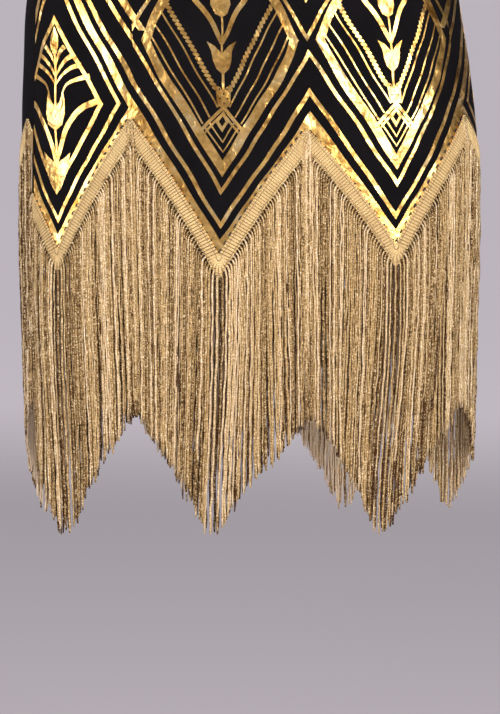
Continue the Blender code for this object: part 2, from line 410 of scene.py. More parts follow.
@dataclass(frozen=True)
class StrandFinish:
    """Loosely twisted metallic strand, with painted glints and painted shade in its colour. Reads how far
    along and round it a place is.
    """

    name: str = "gold_strand"
    # lowest colour: painted shade, for strands that lie in shadow
    painted_shade: tuple = (0.060, 0.022, 0.004)
    sand: tuple = (0.52, 0.350, 0.155)
    # lightest colour, which is also the colour of the painted glints
    painted_glint: tuple = (0.93, 0.80, 0.58)
    rose: tuple = (0.64, 0.46, 0.32)
    twist: float = 0.0024
    specular: float = 0.08
    metallic: float = 0.40
    roughness: float = 0.42

    def material(self) -> Material:
        """The finish as a node material."""
        tree = Surface(self.name)
        along, around, tint = (tree.attribute(name) for name in ("along", "around", "tint"))
        ply = ((along / self.twist + around) * TURN).sine() * 0.5 + 0.5
        spot = {"X": along * 780.0, "Y": tint * 977.0, "Z": around * 2.6}
        place = tree.node("ShaderNodeCombineXYZ", None, spot).outputs[0]
        grains = {"Vector": place, "Scale": 1.0, "Detail": 1.0}
        # specks along the strand that lighten and deepen its colour: painted glints and painted shade; they
        # roughen it too
        glint_speckle = tree.value("ShaderNodeTexNoise", "Fac", None, grains)
        painted_glint = glint_speckle.ramp(0.58, 0.70)
        # a low per-strand value stands for painted shade, set on the mesh
        tone = ply * 0.05 + (glint_speckle - 0.5) * 0.8 + tint * 0.62 + 0.32
        base = tree.colors(tone, (0.47, self.painted_shade), (0.73, self.sand), (1.08, self.painted_glint))
        rosy = tree.mix(tint.ramp(0.62, 0.95) * 0.5, base, self.rose)
        # the brightest specks are mixed towards the lightest colour: painted glints
        return tree.finish(
            base_color=tree.mix(painted_glint * 0.55, rosy, self.painted_glint),
            metallic=self.metallic,
            roughness=self.roughness,
            specular_ior_level=self.specular,
            normal=tree.bump(ply * 0.3 + glint_speckle, 0.00022),
        )


@dataclass(frozen=True)
class FloorFinish:
    """Plain light-coloured floor that grows a little lighter away from the dress, and glows by itself:
    painted light, stronger away from the dress.
    """

    name: str = "studio_floor"
    near: tuple = (0.475, 0.44, 0.465)
    far: tuple = (0.66, 0.61, 0.65)
    glow: tuple = (0.31, 0.290, 0.315)
    near_glow: tuple = (0.165, 0.158, 0.174)

    def material(self) -> Material:
        """The finish as a node material."""
        tree = Surface(self.name)
        split = tree.node("ShaderNodeSeparateXYZ", None, {0: tree.place()})
        away = Value(tree, split.outputs["Y"]).ramp(3.2, 5.2)
        return tree.finish(
            base_color=tree.mix(away, self.near, self.far),
            # the floor glows by itself: painted light
            emission_color=tree.mix(away, self.near_glow, self.glow),
            emission_strength=1.0,
            roughness=0.9,
            specular_ior_level=0.1,
        )


class Finishes:
    """Every material of the dress, built once."""

    def __init__(self) -> None:
        """Builds them."""
        self.knit = KnitFinish("black_knit").material()
        self.printed_knit = KnitFinish("printed_black_knit").material()
        self.foil = FoilFinish().material()
        self.braid = ThreadFinish().material()
        dull = ThreadFinish("gold_braid_ground", (0.20, 0.11, 0.04), (0.52, 0.35, 0.16), 0.0016)
        self.ground = dull.material()
        self.strand = StrandFinish().material()
        black = ThreadFinish("black_thread", (0.006, 0.006, 0.007), (0.035, 0.032, 0.036), 0.0008, 0.0, 0.6)
        self.black_thread = black.material()


# ---- meshes


def unit(vectors: Array) -> Array:
    """The vectors at length 1."""
    return vectors / np.linalg.norm(vectors, axis=-1)[..., None]


def lengths_along(path: Array) -> Array:
    """How far along a path each of its points is."""
    return np.concatenate([[0.0], np.cumsum(np.linalg.norm(np.diff(path, axis=0), axis=1))])


def link(name: str, data: Any) -> Piece:
    """Makes an object from a mesh, a light or a camera, and puts it in the scene."""
    made = bpy.data.objects.new(name, data)
    bpy.context.scene.collection.objects.link(made)
    return made


def store(mesh: bpy.types.Mesh, numbers: dict[str, Array]) -> None:
    """Stores numbers and vectors on a mesh's points.

    Args:
        mesh: the mesh.
        numbers: names and values, one row for each point.
    """
    for key, values in numbers.items():
        kind, slot = ("FLOAT", "value") if values.ndim == 1 else ("FLOAT_VECTOR", "vector")
        layer = mesh.attributes.new(key, kind, "POINT")
        layer.data.foreach_set(slot, values.astype(np.float32).ravel())


def add_mesh(
    name: str, points: Array, faces: Sequence, material: Material, uv: Optional[Array] = None
) -> Piece:
    """Makes a smooth mesh object, with its faces turned outwards.

    Args:
        name: the piece's name.
        points: its points, one row each.
        faces: tuples of point numbers.
        material: its only material.
        uv: a UV pair for each point.

    Returns:
        The linked object.
    """
    mesh = bpy.data.meshes.new(name)
    mesh.from_pydata(points.tolist(), [], [tuple(int(i) for i in face) for face in faces])
    if uv is not None:
        corner = np.zeros(len(mesh.loops), np.int32)
        mesh.loops.foreach_get("vertex_index", corner)
        mesh.uv_layers.new(name="UVMap").data.foreach_set("uv", uv[corner].astype(np.float32).ravel())
    mesh.materials.append(material)
    mesh.validate()
    work = bmesh.new()
    work.from_mesh(mesh)
    bmesh.ops.recalc_face_normals(work, faces=work.faces[:])
    work.to_mesh(mesh)
    work.free()
    mesh.shade_smooth()
    return link(name, mesh)


def grid_faces(rows: int, columns: int) -> list[tuple]:
    """Quads of a grid of points that are numbered row by row."""
    corners = (r * columns + c for r in range(rows - 1) for c in range(columns - 1))
    return [(a, a + 1, a + columns + 1, a + columns) for a in corners]


def ring_faces(rings: int, sides: int, start: int = 0, closed: bool = False) -> list[tuple]:
    """Quads between rings of points.

    Args:
        rings: how many rings there are.
        sides: points in each.
        start: number of the first point.
        closed: whether the last ring joins the first.

    Returns:
        The quads.
    """
    faces = []
    for r in range(rings if closed else rings - 1):
        here, there = start + r * sides, start + (r + 1) % rings * sides
        for k in range(sides):
            j = (k + 1) % sides
            faces.append((here + k, there + k, there + j, here + j))
    return faces


def add_wall(name: str, outer: Array, inner: Array, material: Material, uv: Array) -> Piece:
    """A closed wall between two grids of the same size.

    Args:
        name: the piece's name.
        outer: grid of outer points, its rows running down and its columns to the wearer's left.
        inner: grid of inner points.
        material: its material.
        uv: grid of UV pairs in metres.

    Returns:
        The object, with its rim creased.
    """
    rows, columns = outer.shape[:2]
    count = rows * columns
    quads = grid_faces(rows, columns)
    faces = [quad[::-1] for quad in quads] + [tuple(i + count for i in quad) for quad in quads]
    rim = [(0, c) for c in range(columns - 1)] + [(r, columns - 1) for r in range(rows - 1)]
    rim += [(rows - 1, c) for c in range(columns - 1, 0, -1)] + [(r, 0) for r in range(rows - 1, 0, -1)]
    numbers = [r * columns + c for r, c in rim]
    faces += [(b + count, a + count, a, b) for a, b in zip(numbers, numbers[1:] + numbers[:1])]
    points = np.concatenate([outer.reshape(-1, 3), inner.reshape(-1, 3)])
    made = add_mesh(name, points, faces, material, np.concatenate([uv.reshape(-1, 2)] * 2))
    made.data.set_sharp_from_angle(angle=RIM_ANGLE)
    return made


def tube(path: Array, radius: float, sides: int, start: int = 0) -> tuple[Array, list, Array]:
    """A capped tube along a path that nowhere runs along Z.

    Args:
        path: points of the middle line.
        radius: the tube's radius.
        sides: sides of its section.
        start: number of its first point.

    Returns:
        Points, faces and UV pairs: share of the way round, metres along.
    """
    run = unit(np.gradient(path, axis=0))
    aside = unit(np.cross(run, [0.0, 0.0, 1.0]))
    up = np.cross(aside, run)
    turn = np.arange(sides) * TURN / sides
    points = path[:, None] + radius * (
        np.cos(turn)[None, :, None] * aside[:, None] + np.sin(turn)[None, :, None] * up[:, None]
    )
    uv = np.stack(np.broadcast_arrays(turn[None, :] / TURN, lengths_along(path)[:, None]), axis=-1)
    faces = ring_faces(len(path), sides, start)
    last = start + (len(path) - 1) * sides
    faces += [tuple(start + k for k in range(sides)), tuple(last + k for k in reversed(range(sides)))]
    return points.reshape(-1, 3), faces, uv.reshape(-1, 2)


# ---- the worn form


@dataclass(frozen=True)
class Fold:
    """A soft ridge in the cloth, or a trough if its height is negative."""

    share: float
    top: float
    bottom: float
    width: float
    height: float
    lean: float = 0.0


@dataclass
class DressForm:
    """The shape that the worn cloth takes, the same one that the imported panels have."""

    cloth: float = 0.0012
    seam_gap: float = 0.0003
    underarm_drop: float = 0.200
    neck_half_width: float = 0.085
    shoulder_half_width: float = 0.135
    shoulder_slope: float = 0.35
    neck_drops: Pair = (0.110, 0.035)
    chest_half_width: float = 0.178
    chest_spread: float = 0.08
    armhole_waist: float = 0.126
    armhole_waist_drop: float = 0.115
    shoulder_roll: float = 3.2
    seam_settles_at: float = 0.400
    girth: float = 0.992
    fold_fade: float = 0.35
    halvings: int = 44
    ratios: ClassVar[Array] = np.linspace(0.40, 0.72, 65)
    shares: ClassVar[Array] = np.linspace(0.0, 1.0, 1441)
    # drop, half width, half depth, shift
    sections: ClassVar[Array] = np.array((
        (0.200, 0.1700, 0.112, 0.0000),
        (0.290, 0.1730, 0.109, 0.0000),
        (0.360, 0.1856, 0.106, -0.0030),
        (0.425, 0.1948, 0.103, -0.0044),
        (0.485, 0.2013, 0.101, -0.0010),
        (0.545, 0.2058, 0.100, 0.0008),
        (0.610, 0.2070, 0.099, 0.0010),
        (0.690, 0.2074, 0.099, 0.0010),
    ))
    # share, top, bottom, width, height and lean
    folds: ClassVar[tuple] = (
        Fold(-0.185, 0.34, 0.60, 0.016, 0.0011, 0.010),
        Fold(-0.130, 0.40, 0.63, 0.020, -0.0009, -0.012),
        Fold(-0.060, 0.30, 0.56, 0.024, 0.0010, 0.014),
        Fold(0.018, 0.42, 0.62, 0.022, -0.0008, -0.010),
        Fold(0.072, 0.28, 0.50, 0.026, 0.0012, 0.006),
        Fold(0.118, 0.43, 0.64, 0.018, -0.0008, 0.010),
        Fold(0.185, 0.36, 0.62, 0.020, 0.0013, -0.012),
        Fold(0.235, 0.30, 0.60, 0.014, -0.0012, 0.004),
        Fold(0.268, 0.34, 0.58, 0.016, -0.0012, 0.004),
        Fold(0.312, 0.38, 0.60, 0.014, 0.0009, -0.008),
        Fold(0.390, 0.30, 0.60, 0.024, 0.0014, 0.012),
        Fold(0.440, 0.38, 0.62, 0.022, -0.0012, -0.010),
        Fold(0.520, 0.26, 0.58, 0.028, 0.0016, 0.008),
        Fold(0.585, 0.34, 0.63, 0.020, -0.0012, 0.010),
        Fold(0.650, 0.30, 0.60, 0.024, 0.0013, -0.012),
        Fold(0.730, 0.36, 0.62, 0.020, -0.0011, 0.010),
        Fold(0.770, 0.40, 0.56, 0.014, 0.0010, -0.004),
        Fold(-0.150, 0.215, 0.33, 0.018, 0.0016, 0.060),
        Fold(0.160, 0.215, 0.32, 0.017, 0.0015, -0.050),
        Fold(0.350, 0.22, 0.34, 0.018, 0.0015, 0.050),
        Fold(0.640, 0.22, 0.33, 0.018, 0.0014, -0.055),
    )

    def __post_init__(self) -> None:
        """Works out the angle at each share of an ellipse's girth, for ellipses from flat to round."""
        angles = np.linspace(0.0, TURN, len(self.shares))
        rows = []
        for ratio in self.ratios:
            steps = np.hypot(np.diff(np.sin(angles)), ratio * np.diff(np.cos(angles)))
            along = np.concatenate([[0.0], np.cumsum(steps)])
            rows.append(np.interp(self.shares, along / along[-1], angles))
        self.angles = np.array(rows)

    @staticmethod
    def soft_step(start: float, end: float, value: Array) -> Array:
        """0 before start, 1 after end, with a soft turn at both."""
        t = np.clip((value - start) / (end - start), 0.0, 1.0)
        return t * t * (3 - 2 * t)

    def section(self, drop: Array) -> Array:
        """Reads the sections' table with a smooth curve through its rows.

        Args:
            drop: heights below the shoulders.

        Returns:
            Half width, half depth and shift there, in the last axis.
        """
        table = self.sections
        drop = np.clip(drop, table[0, 0], table[-1, 0])
        i = np.clip(np.searchsorted(table[:, 0], drop, side="left") - 1, 0, len(table) - 2)
        before, low = table[np.maximum(i - 1, 0)], table[i]
        high, after = table[i + 1], table[np.minimum(i + 2, len(table) - 1)]
        span = (high[..., :1] - low[..., :1])
        t = (drop[..., None] - low[..., :1]) / span
        start = (high - before) / (high[..., :1] - before[..., :1])
        end = (after - low) / (after[..., :1] - low[..., :1])
        found = (
            (2 * t**3 - 3 * t**2 + 1) * low
            + (t**3 - 2 * t**2 + t) * span * start
            + (3 * t**2 - 2 * t**3) * high
            + (t**3 - t**2) * span * end
        )
        return found[..., 1:]

    def angle(self, share: Array, ratio: Array) -> Array:
        """The angle at which a share of the girth is reached.

        Args:
            share: shares of the girth, from the front.
            ratio: half depth over half width of the section there.

        Returns:
            Angles from the front.
        """
        turns = np.floor(share)
        s = (share - turns) * (len(self.shares) - 1)
        r = np.clip((ratio - self.ratios[0]) / (self.ratios[1] - self.ratios[0]), 0, len(self.ratios) - 1.001)
        s0, r0 = np.minimum(s.astype(int), len(self.shares) - 2), r.astype(int)
        fs, fr = s - s0, r - r0
        low = self.angles[r0, s0] * (1 - fs) + self.angles[r0, s0 + 1] * fs
        high = self.angles[r0 + 1, s0] * (1 - fs) + self.angles[r0 + 1, s0 + 1] * fs
        return TURN * turns + low * (1 - fr) + high * fr

    def ripple(self, share: Array, drop: Array) -> Array:
        """How far the folds lift the cloth.

        Args:
            share: where it is round the body.
            drop: how far below the shoulders.

        Returns:
            The lift at each place.
        """
        lift = np.zeros(np.broadcast(share, drop).shape)
        for fold in self.folds:
            for turn in (-1.0, 0.0, 1.0):
                t = (drop - fold.top) / (fold.bottom - fold.top)
                middle = fold.share + turn + fold.lean * (t - 0.5)
                across = (share - middle) / fold.width
                window = self.soft_step(0.0, self.fold_fade, t) * self.soft_step(1.0, 1 - self.fold_fade, t)
                lift += fold.height * np.exp(-across * across) * window
        return lift

    def body(self, share: Array, drop: Array, out: Any = 0.0) -> Array:
        """Points below the underarm.

        Args:
            share: where they are round the body.
            drop: how far below the shoulders.
            out: how far outside the outer face of the cloth.

        Returns:
            The points, in the last axis.
        """
        share, drop = np.broadcast_arrays(np.asarray(share, float), np.asarray(drop, float))
        here = self.section(drop)
        width, depth, shift = here[..., 0], here[..., 1], here[..., 2]
        angle = self.angle(share, depth / width)
        sx, sy = np.sin(angle), -np.cos(angle)
        step = 0.002
        change = (self.section(drop - step) - self.section(drop + step)) / (2 * step)
        rise = -(sx * sx * change[..., 0] + sx * change[..., 2]) / width - sy * sy * change[..., 1] / depth
        normal = np.stack([sx / width, sy / depth, rise], axis=-1)
        normal = unit(normal)
        place = np.stack([width * sx + shift, depth * sy, -drop], axis=-1)
        return place + normal * (self.ripple(share, drop) + out)[..., None]

    def twisted(self, side: "Side", hem: Array, drop: Array) -> Array:
        """The share at a drop of the line of cloth that reaches the hem at the share hem."""
        first, last = side.seams
        underarm = side.middle - 0.25 + 0.5 * (hem - first) / (last - first)
        return underarm + (hem - underarm) * self.soft_step(self.underarm_drop, self.seam_settles_at, drop)

    def shoulder(self, x: Array) -> Array:
        """Drop of the shoulder line at this distance from the middle."""
        return self.shoulder_slope * (np.abs(x) - self.neck_half_width)

    def chest_width(self, drop: Array) -> Array:
        """Half width of the figure above the underarm."""
        rise = self.soft_step(self.underarm_drop, self.underarm_drop - self.chest_spread, drop)
        return self.sections[0, 1] + rise * (self.chest_half_width - self.sections[0, 1])

    def armhole(self, drop: Array) -> Array:
        """Where the armhole's edge is.

        Args:
            drop: how far below the shoulders.

        Returns:
            Its distance from the middle.
        """
        top, waist = self.shoulder(np.array(self.shoulder_half_width)), self.armhole_waist_drop
        low = np.clip((drop - waist) / (self.underarm_drop - waist), 0, 1)
        high = np.clip((waist - drop) / (waist - top), 0, None)
        below = self.armhole_waist + (self.sections[0, 1] - self.armhole_waist) * (1 - np.sqrt(1 - low * low))
        above = self.armhole_waist + (self.shoulder_half_width - self.armhole_waist) * high * high
        return np.where(drop > waist, below, above)

    def chest_depth(self, x: Array, drop: Array) -> Array:
        """Half depth of the figure, which falls to nothing on the shoulder line."""
        t = np.clip((self.underarm_drop - drop) / (self.underarm_drop - self.shoulder(x)), 0, 1)
        return self.sections[0, 2] * np.sqrt(np.maximum(1 - t**self.shoulder_roll, 1e-7))

    def yoke_x(self, reach: Array, drop: Array) -> Array:
        """Distance from the middle of the line that is at this reach on the underarm line."""
        width = self.chest_width(drop)
        return width * reach * (1 - (1 - self.armhole(drop) / width) * reach * reach)

    def yoke_reach(self, x: Array, drop: Array) -> Array:
        """Turns yoke_x round, by halving.

        Args:
            x: distances from the middle.
            drop: how far below the shoulders.

        Returns:
            The reach of each point.
        """
        low, high = np.full(x.shape, -1.0), np.full(x.shape, 1.0)
        for _ in range(self.halvings):
            middle = (low + high) / 2
            less = self.yoke_x(middle, drop) < x
            low, high = np.where(less, middle, low), np.where(less, high, middle)
        return (low + high) / 2

    def yoke(self, side: "Side", x: Array, drop: Array, out: float) -> Array:
        """Points above the underarm.

        Args:
            side: the front or the back.
            x: distances from the middle.
            drop: how far below the shoulders.
            out: how far outside the outer face of the cloth.

        Returns:
            The points, in the last axis.
        """
        width, depth = self.chest_width(drop), self.chest_depth(x, drop)
        slope = np.sqrt(np.maximum(1 - (x / width) ** 2, 1e-6))
        step = 0.0004
        by_x = (self.chest_depth(x + step, drop) - self.chest_depth(x - step, drop)) / (2 * step)
        by_z = (self.chest_depth(x, drop - step) - self.chest_depth(x, drop + step)) / (2 * step)
        sign = np.full(x.shape, float(side.sign))
        normal = np.stack([x * depth / (width**2 * slope) - slope * by_x, sign, -slope * by_z], axis=-1)
        normal = unit(normal)
        place = np.stack([x, side.sign * depth * slope, -drop], axis=-1) + out * normal
        place[..., 1] = side.sign * np.maximum(side.sign * place[..., 1], self.seam_gap / 2)
        return place


# share, drop of the braid's upper edge, drop of the strands' tips, at each turn of the hem
FRONT_TURNS = np.array((
    (-0.2015, 0.5950, 0.8550),
    (-0.167, 0.6440, 0.8965),
    (-0.089, 0.5255, 0.7925),
    (-0.008, 0.6445, 0.8895),
    (0.070, 0.5340, 0.7930),
    (0.148, 0.6350, 0.8870),
    (0.221, 0.5235, 0.7860),
    (0.310, 0.6250, 0.8775),
    (0.344, 0.5780, 0.8380),
))
BACK_TURNS = np.array((
    (0.344, 0.5400, 0.8020),
    (0.353, 0.5290, 0.7920),
    (0.425, 0.6380, 0.8880),
    (0.498, 0.5250, 0.7900),
    (0.571, 0.6380, 0.8880),
    (0.643, 0.5250, 0.7900),
    (0.716, 0.6400, 0.8900),
    (0.789, 0.5290, 0.7920),
    (0.7985, 0.5400, 0.8020),
))


class Side(Enum):
    """The two halves of the dress: -1 or 1 along Y, and the share of its middle at the underarm."""

    FRONT = "front", -1, 0.0, FRONT_TURNS
    BACK = "back", 1, 0.5, BACK_TURNS

    def __init__(self, word: str, sign: int, middle: float, turns: Array) -> None:
        """Keeps the side's measures, the turning points of its hem among them."""
        self.word = word
        self.sign = sign
        self.middle = middle
        self.turns = turns

    @property
    def seams(self) -> Pair:
        """Shares of its side seams at the hem."""
        return float(self.turns[0, 0]), float(self.turns[-1, 0])


@dataclass
class Hem:
    """The zigzag edge of one side, as a path in metres across and down."""

    side: Side
    heading_depth: float = 0.020
    heading_lap: float = 0.004
    bulge: float = 0.0050
    sag: float = 0.0018
    full_arm: float = 0.07

    def swell(self, share: Array) -> Array:
        """Each arm of the zigzag sags and bulges a little.

        Args:
            share: where along the hem.

        Returns:
            How much lower than a straight zigzag the edge is.
        """
        corners = self.side.turns[:, 0]
        i = np.clip(np.searchsorted(corners, share, side="right") - 1, 0, len(corners) - 2)
        t = np.clip((share - corners[i]) / (corners[i + 1] - corners[i]), 0, 1)
        long = np.clip((corners[i + 1] - corners[i]) / self.full_arm, 0, 1)
        return self.sag - self.bulge * long * 4 * t * (1 - t)

    def edge(self, share: Array) -> Array:
        """Drop of the braid's upper edge."""
        return np.interp(share, self.side.turns[:, 0], self.side.turns[:, 1]) + self.swell(share)

    def tips(self, share: Array) -> Array:
        """Drop of the strands' tips."""
        return np.interp(share, self.side.turns[:, 0], self.side.turns[:, 2])

    def shares(self, step: float) -> Array:
        """Divides the hem, with a share on each turning point.

        Args:
            step: about how far apart they are.

        Returns:
            The shares.
        """
        found: list[float] = []
        corners = self.side.turns[:, 0]
        for start, end in zip(corners, corners[1:]):
            count = max(round((end - start) / step), 1)
            found += list(start + (end - start) * np.arange(count) / count)
        return np.array(found + [corners[-1]])


# ---- cloth


@dataclass
class Panel:
    """One panel of knit, from the shoulders to under the braid."""

    form: DressForm
    side: Side
    column: float = 0.0048
    yoke_rows: int = 34
    body_rows: int = 48
    hem_rows: int = 26
    hem_rows_start: float = 0.440
    shoulder_share: float = 0.125
    seam_dip: float = 0.0007
    seam_reach: float = 0.0045
    cut_height: float = 0.66

    def columns(self) -> Array:
        """Divides the hem into columns, and keeps which two of them end where neck and shoulder meet.

        Returns:
            The columns' hem shares.
        """
        hem = Hem(self.side).shares(self.column)
        first, last = self.side.seams
        place = (hem - first) / (last - first)
        at = int(np.argmin(abs(place - self.shoulder_share)))
        other = int(np.argmin(abs(place - 1 + self.shoulder_share)))
        hem[0] += self.form.seam_gap / 2
        hem[-1] -= self.form.seam_gap / 2
        self.corners = (at, other)
        return hem

    def tops(self, hem: Array) -> tuple[Array, Array]:
        """Spreads the columns' tops over the shoulders and the neckline.

        Args:
            hem: the columns' hem shares.

        Returns:
            Distance from the middle and drop of each top.
        """
        form = self.form
        at, other = self.corners
        number = np.arange(len(hem), dtype=float)
        neck, shoulder = form.neck_half_width, form.shoulder_half_width
        out_in = shoulder + (neck - shoulder) * number / at
        in_out = neck + (shoulder - neck) * (number - other) / (len(hem) - 1 - other)
        turn = math.pi * (number - at) / (other - at)
        x = np.where(number <= at, -out_in, np.where(number >= other, in_out, -neck * np.cos(turn)))
        depth = form.neck_drops[0 if self.side is Side.FRONT else 1]
        on_shoulder = (number <= at) | (number >= other)
        drop = np.where(on_shoulder, form.shoulder(x), depth * np.sin(turn))
        return (x, drop) if self.side is Side.FRONT else (-x, drop)

    def grids(self) -> tuple[Array, Array, Array]:
        """Works out the panel, row by row from the top.

        Returns:
            Grids of the outer points, the inner points and the UV pairs.
        """
        form, side = self.form, self.side
        hem = self.columns()
        underarm = form.twisted(side, hem, np.full(hem.shape, form.underarm_drop))
        top_x, top_drop = self.tops(hem)
        ratio = np.full(hem.shape, form.sections[0, 2] / form.sections[0, 1])
        on_line = np.sin(form.angle(underarm, ratio))
        reach = form.yoke_reach(top_x, top_drop)
        outer, inner, uv = [], [], []
        for row in range(self.yoke_rows):
            t = (1 + math.cos(math.pi * row / self.yoke_rows)) / 2
            drop = form.underarm_drop + (top_drop - form.underarm_drop) * t
            x = form.yoke_x(on_line + (reach - on_line) * t, drop)
            outer.append(form.yoke(side, x, drop, 0.0))
            inner.append(form.yoke(side, x, drop, -form.cloth))
            uv.append(np.stack([hem * form.girth, drop], axis=-1))
        edge = Hem(side)
        cut = edge.edge(hem) + edge.heading_depth - edge.heading_lap
        level = np.linspace(form.underarm_drop, self.hem_rows_start, self.body_rows, endpoint=False)
        drops = [np.full(hem.shape, drop) for drop in level]
        left = cut - self.hem_rows_start
        drops += [self.hem_rows_start + left * k / self.hem_rows for k in range(self.hem_rows + 1)]
        from_seam = np.minimum(hem - hem[0], hem[-1] - hem) * form.girth
        dip = -self.seam_dip * np.exp(-((from_seam / self.seam_reach) ** 2))
        for drop in drops:
            share = form.twisted(side, hem, drop)
            outer.append(form.body(share, drop, dip))
            inner.append(form.body(share, drop, dip - form.cloth))
            uv.append(np.stack([hem * form.girth, drop], axis=-1))
        return np.array(outer), np.array(inner), np.array(uv)

    def build(self, material: Material) -> Piece:
        """Makes the panel and keeps its grids for the tapes."""
        self.outer, self.inner, uv = self.grids()
        return add_wall(f"{self.side.word}_cloth", self.outer, self.inner, material, uv)


# ---- the print


class Ink(Enum):
    """What a patch of the print does to the cloth under it."""

    GOLD = 1
    BARE = 0


@dataclass(frozen=True)
class Stripe:
    """Heights of a stripe's two edges above the braid, at a low point and at a high point."""

    low: Pair
    high: Pair


def smooth_path(points: Sequence[tuple], pieces: int = 5) -> Array:
    """A soft curve through points.

    Args:
        points: what it passes through.
        pieces: how many steps there are from one to the next.

    Returns:
        Points along the curve.
    """
    p = np.array(points, float)
    p = np.concatenate([[2 * p[0] - p[1]], p, [2 * p[-1] - p[-2]]])
    found = []
    for a, b, c, d in zip(p, p[1:], p[2:], p[3:]):
        square, cube = 2 * a - 5 * b + 4 * c - d, 3 * b - a - 3 * c + d
        for t in np.arange(pieces) / pieces:
            found.append(0.5 * (2 * b + (c - a) * t + square * t**2 + cube * t**3))
    return np.array(found + [p[-2]])


def stroke(path: Sequence, width: float, end_width: Optional[float] = None) -> Array:
    """A band along a path.

    Args:
        path: points of its middle line.
        width: its width.
        end_width: its width at the end, if it changes.

    Returns:
        Its outline.
    """
    path = np.array(path, float)
    run = unit(np.gradient(path, axis=0))
    aside = np.stack([-run[:, 1], run[:, 0]], axis=-1)
    half = np.linspace(width, width if end_width is None else end_width, len(path))[:, None] / 2
    return np.concatenate([path + aside * half, (path - aside * half)[::-1]])


def both_halves(right: Sequence[tuple]) -> Array:
    """A closed outline from its right half, which starts and ends on the axis."""
    half = np.array(right, float)
    return np.concatenate([half, (half * [-1.0, 1.0])[-2:0:-1]])


def chevron(apex: float, reach: float, foot: float, thick: float) -> Array:
    """A roof shape: heights of its apex and feet, how far the feet reach out, and its thickness."""
    upper = np.array([(-reach, foot), (0.0, apex), (reach, foot)])
    return np.concatenate([upper, (upper - [0.0, thick])[::-1]])


def lozenge(height: float, half_width: float, half_height: float) -> Array:
    """A diamond on the axis."""
    side, top, foot = half_width, height + half_height, height - half_height
    return np.array([(side, height), (0, top), (-side, height), (0, foot)])


@dataclass
class Drawing:
    """The foil design, flat, in metres across and down, in the order in which it is laid."""

    patches: list[tuple[Array, Ink]] = field(default_factory=list)

    def lay(self, ink: Ink, outlines: Iterable[Array]) -> None:
        """Adds patches of one ink over those that are there."""
        self.patches += [(np.asarray(outline, float), ink) for outline in outlines]


